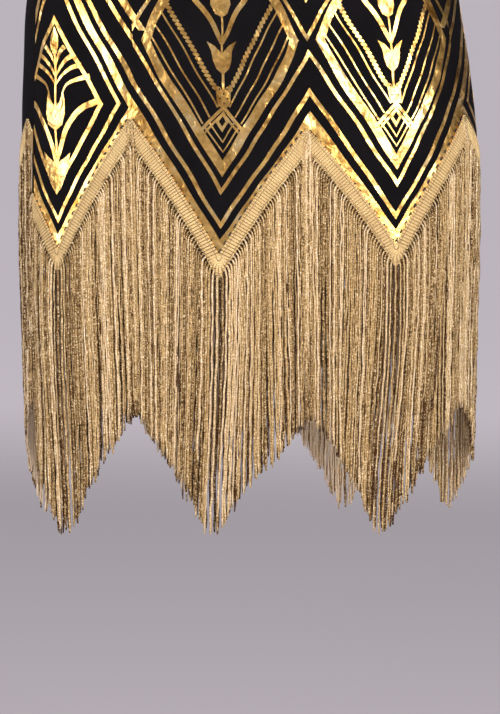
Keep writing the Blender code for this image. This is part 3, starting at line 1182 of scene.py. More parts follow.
@dataclass
class DiamondColumn:
    """A whole diamond over a low point of the hem, between two high points."""

    axis: float
    low: float
    high_axes: Pair
    highs: Pair
    over_seam: tuple[bool, bool]
    crossing_rise: float = 0.0705
    border: Stripe = Stripe((-0.012, 0.01225), (-0.012, 0.0140))
    border_lap: float = 0.003
    thin: Stripe = Stripe((0.0218, 0.0281), (0.0272, 0.0340))
    upper_thin: Stripe = Stripe((0.0512, 0.0573), (0.0612, 0.0670))
    past_seam: float = 1.35
    drawn_reach: float = 0.0803
    drawn_crossing: float = 0.1852
    # all that follows: distance from the axis and height above the low point
    frame_outer: tuple = ((0.0, 0.0669), (0.0300, 0.1130), (0.0563, 0.1524), (0.0725, 0.1852))
    frame_inner: tuple = (
        (0.0, 0.0814), (0.0300, 0.1282), (0.0464, 0.1524), (0.0590, 0.1740), (0.0640, 0.1852)
    )
    lines: tuple = (
        ((0.0172, 0.1130), (0.0628, 0.1880)),
        ((0.0113, 0.1186), (0.0586, 0.1990)),
        ((0.0052, 0.1275), (0.0518, 0.2090)),
    )
    line_width: float = 0.0015
    beaded: tuple = ((0.0058, 0.1420), (0.0516, 0.2230))
    bead_pitch: float = 0.0042
    bead_half: Pair = (0.0025, 0.0026)
    bead_squash: float = 0.82
    bead_lean: float = 0.0016
    bead_sides: int = 8
    root: tuple = (
        (0, 0.1262), (0.0048, 0.1285), (0.0062, 0.1330), (0.0066, 0.1400), (0.0070, 0.1462), (0.0030, 0.1450),
        (0, 0.1400),
    )
    tulip: tuple = (
        (0, 0.1556), (0.0055, 0.1606), (0.0084, 0.1680), (0.0096, 0.1760), (0.0134, 0.1844), (0.0066, 0.1806),
        (0, 0.1735),
    )
    arm_line: tuple = (
        (0, 0.1826), (0.0046, 0.1915), (0.0090, 0.2010), (0.0152, 0.2112), (0.0236, 0.2222), (0.0310, 0.2390)
    )
    upper_tulip: tuple = (
        (0, 0.2050), (0.0055, 0.2080), (0.0090, 0.2160), (0.0082, 0.2240), (0.0112, 0.2360), (0.0046, 0.2300),
        (0, 0.2250),
    )
    # a roof's apex, reach, foot and thickness
    roof: tuple = (0.1297, 0.0180, 0.1104, 0.0044)
    under_roof: tuple = (0.1235, 0.0150, 0.1075, 0.0031)
    nested: tuple = (
        ((-0.0118, 0.1150), (0, 0.0972), (0.0118, 0.1150)),
        ((-0.0152, 0.1100), (0, 0.0887), (0.0152, 0.1100)),
    )
    nested_width: float = 0.0017
    # a diamond's height, half width and half height
    knot: tuple = (0.1152, 0.0062, 0.0095)
    knot_hole: tuple = (0.1152, 0.0030, 0.0047)
    seeds: tuple = (0.1310, 0.0009, 0.0011)
    seed_pitch: Pair = (0.0034, 0.0040)
    seed_rows: int = 4

    def crossings(self) -> Triple:
        """Drops of the crossings at the left high point, on the axis and at the right one."""
        left, right = (high - self.crossing_rise for high in self.highs)
        return left, (left + right) / 2, right

    def arm(self, side: int, low: float, high: float, share: float) -> Pair:
        """A point on the straight line from the axis (share 0) to a high point (share 1)."""
        x = self.axis + (self.high_axes[side] - self.axis) * share
        return x, low + (high - low) * share

    def mirrored(self, side: int, low: float, high: float, share: float) -> Pair:
        """The same point turned over the line of the crossings."""
        middle, end = self.crossings()[1], self.crossings()[0 if side == 0 else 2]
        x, drop = self.arm(side, low, high, share)
        return x, 2 * (middle + (end - middle) * share) - drop

    def stripes(self, drawing: Drawing) -> None:
        """Lays the zigzag stripes, their mirror images and the diamond's frame.

        Args:
            drawing: what they are laid on.
        """
        for side, towards in ((0, -1), (1, 1)):
            low, high = self.low, self.highs[side]
            past = self.past_seam if self.over_seam[side] else 1.0
            for stripe in (self.border, self.thin, self.upper_thin):
                near, far = [(low - a * self.squeeze(), high - b) for a, b in zip(stripe.low, stripe.high)]
                ends = ((near, 0), (near, 1), (far, 1), (far, 0))
                upright = [self.arm(side, *line, share) for line, share in ends]
                if stripe is self.border:
                    near = (low + self.border_lap, high + self.border_lap)
                ends = ((near, 0), (near, past), (far, past), (far, 0))
                drawing.lay(Ink.GOLD, [upright, [self.mirrored(side, *line, share) for line, share in ends]])
            ring = np.array(self.frame_outer + self.frame_inner[::-1]) * [towards, 1]
            drawing.lay(Ink.GOLD, [self.place(ring), self.place(self.turned_over(ring))])

    def place(self, outline: Array) -> Array:
        """From the motif's own distances and heights to metres across and down."""
        left, right = (abs(end - self.axis) / self.drawn_reach for end in self.high_axes)
        across = outline[:, 0] * np.where(outline[:, 0] < 0, left, right)
        return np.stack([self.axis + across, self.low - outline[:, 1] * self.squeeze()], axis=-1)

    def turned_over(self, outline: Array) -> Array:
        """A motif's outline, mirrored in the line of the crossings."""
        return outline * [1, -1] + [0, 2 * self.drawn_crossing]

    def squeeze(self) -> float:
        """Height of the diamond against the drawn one."""
        return (self.low - self.crossings()[1]) / self.drawn_crossing

    def beads(self, side: int) -> list[Array]:
        """A twisted cord: slanting beads along a straight line.

        Args:
            side: -1 left of the axis, 1 right of it.

        Returns:
            The beads' outlines.
        """
        a, b = (np.array((side * x, y)) for x, y in self.beaded)
        length = float(np.linalg.norm(b - a))
        run = (b - a) / length
        aside = np.array([-run[1], run[0]])
        wide, long = self.bead_half
        found = []
        for k in range(int(length / self.bead_pitch)):
            middle = a + run * (k + 0.5) * self.bead_pitch
            ring = []
            for turn in np.arange(self.bead_sides) * TURN / self.bead_sides:
                across, ahead = math.cos(turn), math.sin(turn)
                point = middle + aside * wide * across + run * long * self.bead_squash * ahead
                ring.append(point + run * self.bead_lean * across)
            found.append(np.array(ring))
        return found

    def motif(self, drawing: Drawing) -> None:
        """Lays what stands inside the diamond: lines, beaded cords, two tulips, roofs and knots.

        Args:
            drawing: what it is laid on.
        """
        sides = np.array([(1, 1), (-1, 1)])
        gold = [stroke(np.array(line) * side, self.line_width) for line in self.lines for side in sides]
        gold += self.beads(1) + self.beads(-1)
        gold += [both_halves(self.root), both_halves(self.tulip)]
        gold += [stroke([(0, 0.1400), (0, 0.1580)], 0.0022), stroke([(0, 0.1730), (0, 0.2080)], 0.0018)]
        gold += [stroke(smooth_path(np.array(self.arm_line) * side), 0.0036, 0.0052) for side in sides]
        gold += [both_halves(self.upper_tulip), stroke([(0, 0.2250), (0, 0.2580)], 0.0026, 0.0012)]
        roof, knot = chevron(*self.roof), lozenge(*self.knot)
        gold += [roof, chevron(*self.under_roof)]
        gold += [stroke(line, self.nested_width) for line in self.nested]
        gold += [knot, self.turned_over(roof), self.turned_over(knot)]
        hole = lozenge(*self.knot_hole)
        bare = [hole, self.turned_over(hole)]
        height, half_width, half_height = self.seeds
        across, up = self.seed_pitch
        for row in range(self.seed_rows):
            seed = lozenge(height + up * row, half_width, half_height)
            bare += [seed + [column * across, 0] for column in (-1, 0, 1) if (row + column) % 2 == 0]
        drawing.lay(Ink.GOLD, [self.place(outline) for outline in gold])
        drawing.lay(Ink.BARE, [self.place(outline) for outline in bare])

    def draw(self, drawing: Drawing) -> None:
        """Lays the whole column."""
        self.stripes(drawing)
        self.motif(drawing)


@dataclass
class GableColumn:
    """The diamond that a side seam cuts, under nested gables. Drawn in its own distances and drops."""

    axis: float
    low: float
    high: float
    reach: float
    inward: int
    drawn_reach: float = 0.0774
    drawn_high: float = 0.5255
    drawn_low: float = 0.6440
    border: Stripe = DiamondColumn.border
    cleared_below: float = 0.02
    cleared_from: Pair = (0.315, 0.431)
    # the outermost gable's lower and upper line, which run past the column's edge
    outer_gable: tuple = (((0, 0.330), (0.0834, 0.451)), ((0, 0.315), (0.0907, 0.451)))
    # drops of each gable's lower line on the axis and at the column's edge, and of its upper one
    gables: tuple = (
        ((0.343, 0.4616), (0.3356, 0.4546)),
        ((0.368, 0.4992), (0.3604, 0.4905)),
        ((0.388, 0.5255), (0.3747, 0.5115)),
    )
    # inner and outer line of the two nested diamonds
    diamonds: tuple = (
        (((0, 0.4062), (0.0622, 0.5146), (0, 0.6160)), ((0, 0.3986), (0.0660, 0.5146), (0, 0.6218))),
        (((0, 0.4452), (0.0450, 0.5157), (0, 0.5893)), ((0, 0.4380), (0.0495, 0.5157), (0, 0.5967))),
    )
    tip: tuple = ((0, 0.4480), (0.0040, 0.4560), (0.0048, 0.4640), (0.0026, 0.4710), (0, 0.4760))
    leaves: tuple = (
        ((0, 0.4830), (0.0030, 0.4760), (0.0066, 0.4700), (0.0112, 0.4655)),
        ((0, 0.4927), (0.0046, 0.4848), (0.0125, 0.4768), (0.0215, 0.4725)),
        ((0, 0.4998), (0.0067, 0.4909), (0.0168, 0.4842), (0.0277, 0.4815)),
        ((0.0075, 0.5070), (0.0120, 0.4989), (0.0214, 0.4945), (0.0355, 0.4912)),
    )
    cup: tuple = (
        (0, 0.5190), (0.0050, 0.5140), (0.0084, 0.5040), (0.0101, 0.5120), (0.0104, 0.5240), (0.0076, 0.5345),
        (0, 0.5400),
    )
    bud: tuple = ((0, 0.5540), (0.0030, 0.5620), (0.0022, 0.5700), (0, 0.5740))
    arm_line: tuple = ((0, 0.5690), (0.0063, 0.5500), (0.0147, 0.5330), (0.0273, 0.5200), (0.0450, 0.5125))
    bloom: tuple = (
        (0, 0.5960), (0.0050, 0.5905), (0.0105, 0.5800), (0.0131, 0.5700), (0.0150, 0.5589), (0.0085, 0.5640),
        (0, 0.5690),
    )

    def place(self, outline: Array) -> Array:
        """Moves an outline from the column's own measures to the cloth.

        Args:
            outline: distances from the axis and drops.

        Returns:
            Metres across and down.
        """
        x, drop = outline[:, 0], outline[:, 1]
        drawn, real = self.drawn_low - self.drawn_high, self.low - self.high
        below = self.high + (drop - self.drawn_high) * real / drawn
        above = drop + self.high - self.drawn_high
        placed = np.where(drop > self.drawn_high, below, above)
        return np.stack([self.axis + self.inward * x * self.reach / self.drawn_reach, placed], axis=-1)

    def arms(self, inner: Sequence[tuple], outer: Sequence[tuple]) -> list[Array]:
        """A band and its mirror image, from two lines that start on the axis."""
        right = np.concatenate([np.array(inner, float), np.array(outer, float)[::-1]])
        return [right, right * [-1, 1]]

    def draw(self, drawing: Drawing) -> None:
        """Lays the whole column over what the neighbouring one has laid.

        Args:
            drawing: what it is laid on.
        """
        edge, peak, foot = self.drawn_reach, self.drawn_high, self.drawn_low
        top, top_end = self.cleared_from
        low_end = peak + self.cleared_below
        clear = both_halves([(0, top), (edge, top_end), (edge, low_end), (0, foot + self.cleared_below)])
        drawing.lay(Ink.BARE, [self.place(clear)])
        gold = self.arms(*self.outer_gable)
        for (lower, lower_end), (upper, upper_end) in self.gables:
            gold += self.arms([(0, lower), (edge, lower_end)], [(0, upper), (edge, upper_end)])
        under, over = zip(self.border.low, self.border.high)
        gold += self.arms(*([(0, foot - low), (edge, peak - high)] for low, high in (under, over)))
        for lines in self.diamonds:
            gold += self.arms(*lines)
        sides = np.array([(1, 1), (-1, 1)])
        gold += [both_halves(self.tip), stroke([(0, 0.4720), (0, 0.5200)], 0.0020)]
        for leaf in self.leaves:
            gold += [stroke(smooth_path(np.array(leaf) * side, 4), 0.0012, 0.0046) for side in sides]
        gold += [both_halves(self.cup), stroke([(0, 0.5380), (0, 0.5600)], 0.0020), both_halves(self.bud)]
        gold += [stroke(smooth_path(np.array(self.arm_line) * side), 0.0040, 0.0056) for side in sides]
        gold.append(both_halves(self.bloom))
        drawing.lay(Ink.GOLD, [self.place(outline) for outline in gold])


@dataclass
class Foil:
    """The print as thin gold foil on the front panel."""

    form: DressForm
    top_drop: float = 0.215
    from_seam: float = 0.0012
    under_braid: float = 0.003
    step: float = 0.004
    grid_step: float = 0.0055
    grid_top: float = 0.25
    merged: float = 1e-7
    lift: float = 0.00016
    depth: float = 0.00020
    drift_drops: Pair = (0.640, 0.430)
    pinned: float = 0.02
    # strength of each wave in the print's lines, and its length down and across
    waves: tuple = ((0.0005, 0.061, 0.19), (0.0005 * 0.6, 0.034, -0.083))
    # hem share, how far the print leans away from it at the top
    drifts: ClassVar[Array] = np.array((
        (-0.2015, -0.0060),
        (-0.167, -0.0047),
        (-0.089, 0.0045),
        (-0.008, 0.0082),
        (0.070, 0.0064),
        (0.148, 0.0033),
        (0.221, -0.0060),
        (0.344, -0.0060),
    ))

    def drawing(self) -> Drawing:
        """Draws the design: the two whole diamonds, and over them the columns at the seams.

        Returns:
            The drawing.
        """
        drawn = Drawing()
        across = [share * self.form.girth for share in FRONT_TURNS[:, 0]]
        drops = list(FRONT_TURNS[:, 1])
        for low, over_seam in ((3, (True, False)), (5, (False, True))):
            sides = slice(low - 1, low + 2, 2)
            ends = tuple(across[sides]), tuple(drops[sides])
            DiamondColumn(across[low], drops[low], *ends, over_seam).draw(drawn)
        for low, high, inward in ((1, 2, 1), (7, 6, -1)):
            reach = abs(across[high] - across[low])
            GableColumn(across[low], drops[low], drops[high], reach, inward).draw(drawn)
        return drawn

    def outline(self) -> Array:
        """The part of the panel that the foil may cover.

        Returns:
            Its corners, in metres across and down.
        """
        girth = self.form.girth
        edge = [(share * girth, drop + self.under_braid) for share, drop, _ in FRONT_TURNS]
        edge[0] = (edge[0][0] + self.from_seam, edge[0][1])
        edge[-1] = (edge[-1][0] - self.from_seam, edge[-1][1])
        return np.array(edge + [(edge[-1][0], self.top_drop), (edge[0][0], self.top_drop)])

    def divided(self, outline: Array) -> list[tuple]:
        """Cuts an outline's edges into short ones.

        Args:
            outline: its corners.

        Returns:
            The points.
        """
        found: list[tuple] = []
        for a, b in zip(outline, np.roll(outline, -1, axis=0)):
            count = max(math.ceil(float(np.linalg.norm(b - a)) / self.step), 1)
            found += [tuple(a + (b - a) * k / count) for k in range(count)]
        return found

    def triangles(self) -> tuple[Array, list[tuple]]:
        """Triangulates the design, and keeps what is gold.

        Returns:
            Flat points and triangles.
        """
        drawn = self.drawing().patches
        area = self.outline()
        points: list[tuple] = []
        faces = []
        for outline in [area] + [patch for patch, _ in drawn]:
            x, y = outline[:, 0], outline[:, 1]
            if np.dot(x, np.roll(y, -1)) < np.dot(y, np.roll(x, -1)):
                outline = outline[::-1]
            ring = self.divided(outline)
            faces.append(list(range(len(points), len(points) + len(ring))))
            points += ring
        low, high = area.min(axis=0), area.max(axis=0)
        columns = np.arange(low[0], high[0], self.grid_step)
        rows = np.arange(self.grid_top, high[1], self.grid_step)
        points += [(x, y) for y in rows for x in columns]
        made = delaunay_2d_cdt([Vector(p) for p in points], [], faces, 0, self.merged, True)
        flat = np.array([tuple(p) for p in made[0]])
        kept = []
        for face, owners in zip(made[2], made[5]):
            if 0 in owners and len(owners) > 1 and drawn[max(owners) - 1][1] is Ink.GOLD:
                kept.append(tuple(face))
        return flat, kept

    def on_cloth(self, flat: Array, out: float) -> Array:
        """Places flat points on the cloth.

        Args:
            flat: metres across and down.
            out: how far outside the cloth.

        Returns:
            The points.
        """
        share, drop = flat[:, 0] / self.form.girth, flat[:, 1]
        start, end = self.drift_drops
        raised = np.clip((start - drop) / (start - end), 0, 1)
        first, last = Side.FRONT.seams
        inside = self.form.soft_step(0.0, self.pinned, np.minimum(share - first, last - share))
        wander = np.zeros(len(flat))
        for strength, down, wide in self.waves:
            wander += strength * np.sin(drop * TURN / down + flat[:, 0] * TURN / wide)
        hem = share + (np.interp(share, self.drifts[:, 0], self.drifts[:, 1]) * raised + wander) * inside
        return self.form.body(self.form.twisted(Side.FRONT, hem, drop), drop, out)

    def build(self, material: Material) -> Piece:
        """Makes the foil as thin closed plates.

        Args:
            material: its finish.

        Returns:
            The piece.
        """
        flat, kept = self.triangles()
        used = sorted({i for face in kept for i in face})
        number = {old: new for new, old in enumerate(used)}
        flat = flat[used]
        faces = [tuple(number[i] for i in face) for face in kept]
        count = len(flat)
        edges = dict.fromkeys(edge for face in faces for edge in zip(face, face[1:] + face[:1]))
        walls = [(b, a, a + count, b + count) for a, b in edges if (b, a) not in edges]
        under = [tuple(i + count for i in reversed(face)) for face in faces]
        points = np.concatenate([self.on_cloth(flat, out) for out in (self.lift, self.lift - self.depth)])
        uv = np.concatenate([flat, flat])
        made = add_mesh("gold_foil_print", points, faces + under + walls, material, uv)
        made.data.set_sharp_from_angle(angle=RIM_ANGLE)
        return made


# ---- what repeats


@dataclass(frozen=True)
class Spots:
    """Places for copies: where, along what, facing where, and how large."""

    place: Array
    run: Array
    facing: Array
    size: Array

    @staticmethod
    def joined(parts: Sequence["Spots"]) -> "Spots":
        """One set from several."""
        names = ("place", "run", "facing", "size")
        return Spots(*(np.concatenate([getattr(part, name) for part in parts]) for name in names))


def points_object(name: str, place: Array, numbers: dict[str, Array]) -> Piece:
    """A mesh of loose points that carries numbers and vectors."""
    mesh = bpy.data.meshes.new(name)
    mesh.from_pydata(place.tolist(), [], [])
    store(mesh, numbers)
    return link(name, mesh)


class Repeater(Tree):
    """A Geometry Nodes tree that puts copies of a template on points."""

    def __init__(self, name: str, sizes: dict[str, float]) -> None:
        """Makes the group with its named inputs.

        Args:
            name: the group's name.
            sizes: names and values of its number inputs.
        """
        self.group = bpy.data.node_groups.new(name, "GeometryNodeTree")
        super().__init__(self.group)
        self.sizes = sizes
        self.ids: dict[str, str] = {}
        kinds = {"Geometry": "Geometry", "Template": "Object", "Finish": "Material", "Seed": "Int"}
        for key, kind in {**kinds, **dict.fromkeys(sizes, "Float")}.items():
            socket = self.group.interface.new_socket(key, in_out="INPUT", socket_type=f"NodeSocket{kind}")
            self.ids[key] = socket.identifier
        self.group.interface.new_socket("Geometry", in_out="OUTPUT", socket_type="NodeSocketGeometry")
        self.given = self.node("NodeGroupInput")
        copied = {"Object": self.given.outputs["Template"]}
        info = self.node("GeometryNodeObjectInfo", {"transform_space": "ORIGINAL"}, copied)
        self.template = info.outputs["Geometry"]

    def size(self, key: str) -> Value:
        """A number input."""
        return Value(self, self.given.outputs[key])

    def stored(self, key: str, kind: str = "FLOAT_VECTOR") -> Socket:
        """An attribute of the points."""
        node = self.node("GeometryNodeInputNamedAttribute", {"data_type": kind}, {"Name": key})
        return node.outputs["Attribute"]

    def close(self, geometry: Socket) -> None:
        """Sets the material of this geometry and ends the tree."""
        inputs = {"Geometry": geometry, "Material": self.given.outputs["Finish"]}
        node = self.node("GeometryNodeSetMaterial", None, inputs)
        self.node("NodeGroupOutput", None, {"Geometry": node.outputs["Geometry"]})

    def copies(self, **inputs: Any) -> Socket:
        """Puts the template on the points, as real shapes.

        Args:
            inputs: links of the other sockets of Instance on Points.

        Returns:
            The geometry.
        """
        inputs.update(Points=self.given.outputs["Geometry"], Instance=self.template)
        placed = self.node("GeometryNodeInstanceOnPoints", None, inputs).outputs["Instances"]
        return self.node("GeometryNodeRealizeInstances", None, {"Geometry": placed}).outputs["Geometry"]

    def make(self, points: Piece, template: Piece, material: Material, seed: int) -> Piece:
        """Runs the tree on the points and turns the result into a plain mesh.

        Args:
            points: the object with the points, whose name the piece takes.
            template: what is copied.
            material: its finish.
            seed: for its small irregularities.

        Returns:
            The piece.
        """
        modifier = points.modifiers.new("copies", "NODES")
        modifier.node_group = self.group
        for key, value in {"Template": template, "Finish": material, "Seed": seed, **self.sizes}.items():
            modifier[self.ids[key]] = value
        bpy.context.view_layer.update()
        graph = bpy.context.evaluated_depsgraph_get()
        mesh = bpy.data.meshes.new_from_object(points.evaluated_get(graph), depsgraph=graph)
        points.modifiers.remove(modifier)
        old = points.data
        points.data = mesh
        bpy.data.meshes.remove(old)
        mesh.name = points.name
        return points


class StitchTree(Repeater):
    """Copies turned along a run, facing outwards, each of a slightly different size."""

    def __init__(self, unevenness: float) -> None:
        """Builds the tree."""
        super().__init__("stitches", {"Unevenness": unevenness})
        turned = self.node(
            "FunctionNodeAxesToRotation",
            {"primary_axis": "Z", "secondary_axis": "Y"},
            {"Primary Axis": self.stored("run"), "Secondary Axis": self.stored("facing")},
        )
        uneven = self.size("Unevenness")
        bounds = {2: 1 - uneven, 3: 1 + uneven, "Seed": self.given.outputs["Seed"]}
        jitter = self.node("FunctionNodeRandomValue", {"data_type": "FLOAT"}, bounds)
        scale = self.vector("SCALE", self.stored("size"), jitter.outputs[1])
        self.close(self.copies(Rotation=turned.outputs["Rotation"], Scale=scale))

    def sew(self, name: str, spots: Spots, template: Piece, material: Material, seed: int) -> Piece:
        """Makes one piece of copies."""
        numbers = {"run": spots.run, "facing": spots.facing, "size": spots.size}
        return self.make(points_object(name, spots.place, numbers), template, material, seed)


class StrandTree(Repeater):
    """Strands that leave the braid square to it, bend over and hang down with a little sway."""

    def __init__(self, radius: float, bend: float, drift: float, kink: float) -> None:
        """Builds the tree.

        Args:
            radius: a strand's radius.
            bend: length over which it bends down.
            drift: how far neighbours sway together.
            kink: how far each strays by itself.
        """
        super().__init__("strands", {"Radius": radius, "Bend": bend, "Drift": drift, "Kink": kink})
        real = self.copies()
        reach, part, tint = (Value(self, self.stored(key, "FLOAT")) for key in ("reach", "part", "tint"))
        along = part * reach
        share = (along / self.size("Bend")).at_most(1.0)
        sideways = (1.0 - (1.0 - share) ** 3.0) * self.size("Bend") * (1 / 3)
        root = self.stored("root")
        lower = self.node("ShaderNodeCombineXYZ", None, {"Z": along * 5.0 + tint * 0.8})
        broad = self.around_zero(self.vector("ADD", self.vector("SCALE", root, 26.0), lower.outputs[0]))
        wave = {"X": tint * 311.0, "Y": self.given.outputs["Seed"], "Z": along * 58.0}
        narrow = self.around_zero(self.node("ShaderNodeCombineXYZ", None, wave).outputs[0])
        taper = 1.0 - part.ramp(0.965, 1.0) * 0.35
        fat = (tint * 37.0).sine() * 0.22 + 1.0
        down = self.node("ShaderNodeCombineXYZ", None, {"Z": sideways - along})
        place = root
        for way, amount in (
            (self.stored("shape"), self.size("Radius") * taper * fat),
            (self.stored("leave"), sideways),
            (down.outputs[0], 1.0),
            (self.stored("gather"), part.ramp(0.15, 1.0)),
            (broad, self.size("Drift") * part),
            (narrow, self.size("Kink") * part.ramp(0.0, 0.10)),
        ):
            place = self.vector("ADD", place, self.vector("SCALE", way, amount))
        moved = self.node("GeometryNodeSetPosition", None, {"Geometry": real, "Position": place})
        noted = self.node(
            "GeometryNodeStoreNamedAttribute",
            {"data_type": "FLOAT", "domain": "POINT"},
            {"Geometry": moved.outputs["Geometry"], "Name": "along", "Value": along},
        )
        self.close(noted.outputs["Geometry"])

    def around_zero(self, place: Socket) -> Socket:
        """A soft sideways vector around zero."""
        node = self.node("ShaderNodeTexNoise", None, {"Vector": place, "Scale": 1.0, "Detail": 1.0})
        return self.vector("SUBTRACT", node.outputs["Color"], (0.5, 0.5, 0.0))


class Templates:
    """The small shapes that are copied, hidden away once everything is made."""

    def __init__(self, material: Material) -> None:
        """Makes them."""
        self.material = material
        self.bar = self.cords("braid_bar", (-0.5, 0.5), 6, 0.0113)
        self.thread = self.cords("single_thread", (0.0,), 6, 0.004)
        self.knot = self.ball("braid_knot", 8, 5)
        self.strand = self.hanging(4, 58)

    def cords(self, name: str, offsets: tuple, sides: int, length: float) -> Piece:
        """Straight cords side by side, of unit length, with narrowed ends.

        Args:
            name: the template's name.
            offsets: where each cord's middle line is.
            sides: sides of a cord.
            length: its real length, for the twist of its thread.

        Returns:
            The template.
        """
        points, faces, uvs = [], [], []
        for offset in offsets:
            path = np.array([(offset, along, 0.0) for along in (-0.5, -0.44, 0.0, 0.44, 0.5)])
            made, found, uv = tube(path, 0.5, sides, sum(map(len, points)))
            for ring, middle in ((slice(sides), path[0]), (slice(-sides, None), path[-1])):
                made[ring] = middle + (made[ring] - middle) * 0.55
            points.append(made[:, [0, 2, 1]])
            faces += found
            uvs.append(uv * [1.0, length])
        return add_mesh(name, np.concatenate(points), faces, self.material, np.concatenate(uvs))

    def ball(self, name: str, sides: int, rings: int) -> Piece:
        """A unit ball.

        Args:
            name: the template's name.
            sides: points in a ring.
            rings: steps from pole to pole.

        Returns:
            The template.
        """
        points = [(0.0, 0.0, 0.5)]
        for r in range(1, rings):
            across, up = 0.5 * math.sin(math.pi * r / rings), 0.5 * math.cos(math.pi * r / rings)
            turns = (TURN * k / sides for k in range(sides))
            points += [(across * math.cos(turn), across * math.sin(turn), up) for turn in turns]
        last = len(points)
        points.append((0.0, 0.0, -0.5))
        faces = [(0, 1 + k, 1 + (k + 1) % sides) for k in range(sides)]
        faces += ring_faces(rings - 1, sides, 1)
        faces += [(last - sides + k, last, last - sides + (k + 1) % sides) for k in range(sides)]
        uv = np.array([(x, z * 0.002) for x, _, z in points])
        return add_mesh(name, np.array(points), faces, self.material, uv)

    def hanging(self, sides: int, rings: int) -> Piece:
        """A straight unit strand that carries its own sizes as attributes.

        Args:
            sides: sides of its section.
            rings: steps along it.

        Returns:
            The template.
        """
        part = np.linspace(0.0, 1.0, rings + 1)
        turn = np.arange(sides) * TURN / sides
        ring = np.stack([np.cos(turn), np.sin(turn), np.zeros(sides)], axis=-1)
        points = (ring[None] + np.stack([0 * part, 0 * part, -part], axis=-1)[:, None]).reshape(-1, 3)
        last = rings * sides
        faces = ring_faces(rings + 1, sides) + [tuple(range(sides)), tuple(last + k for k in range(sides))]
        made = add_mesh("fringe_strand", points, faces, self.material)
        around, shape = np.tile(turn / TURN, rings + 1), np.tile(ring, (rings + 1, 1))
        store(made.data, {"part": np.repeat(part, sides), "around": around, "shape": shape})
        return made

    def remove(self) -> None:
        """Takes the templates out of the file."""
        for made in (self.bar, self.thread, self.knot, self.strand):
            bpy.data.objects.remove(made, do_unlink=True)


# ---- braid and fringe


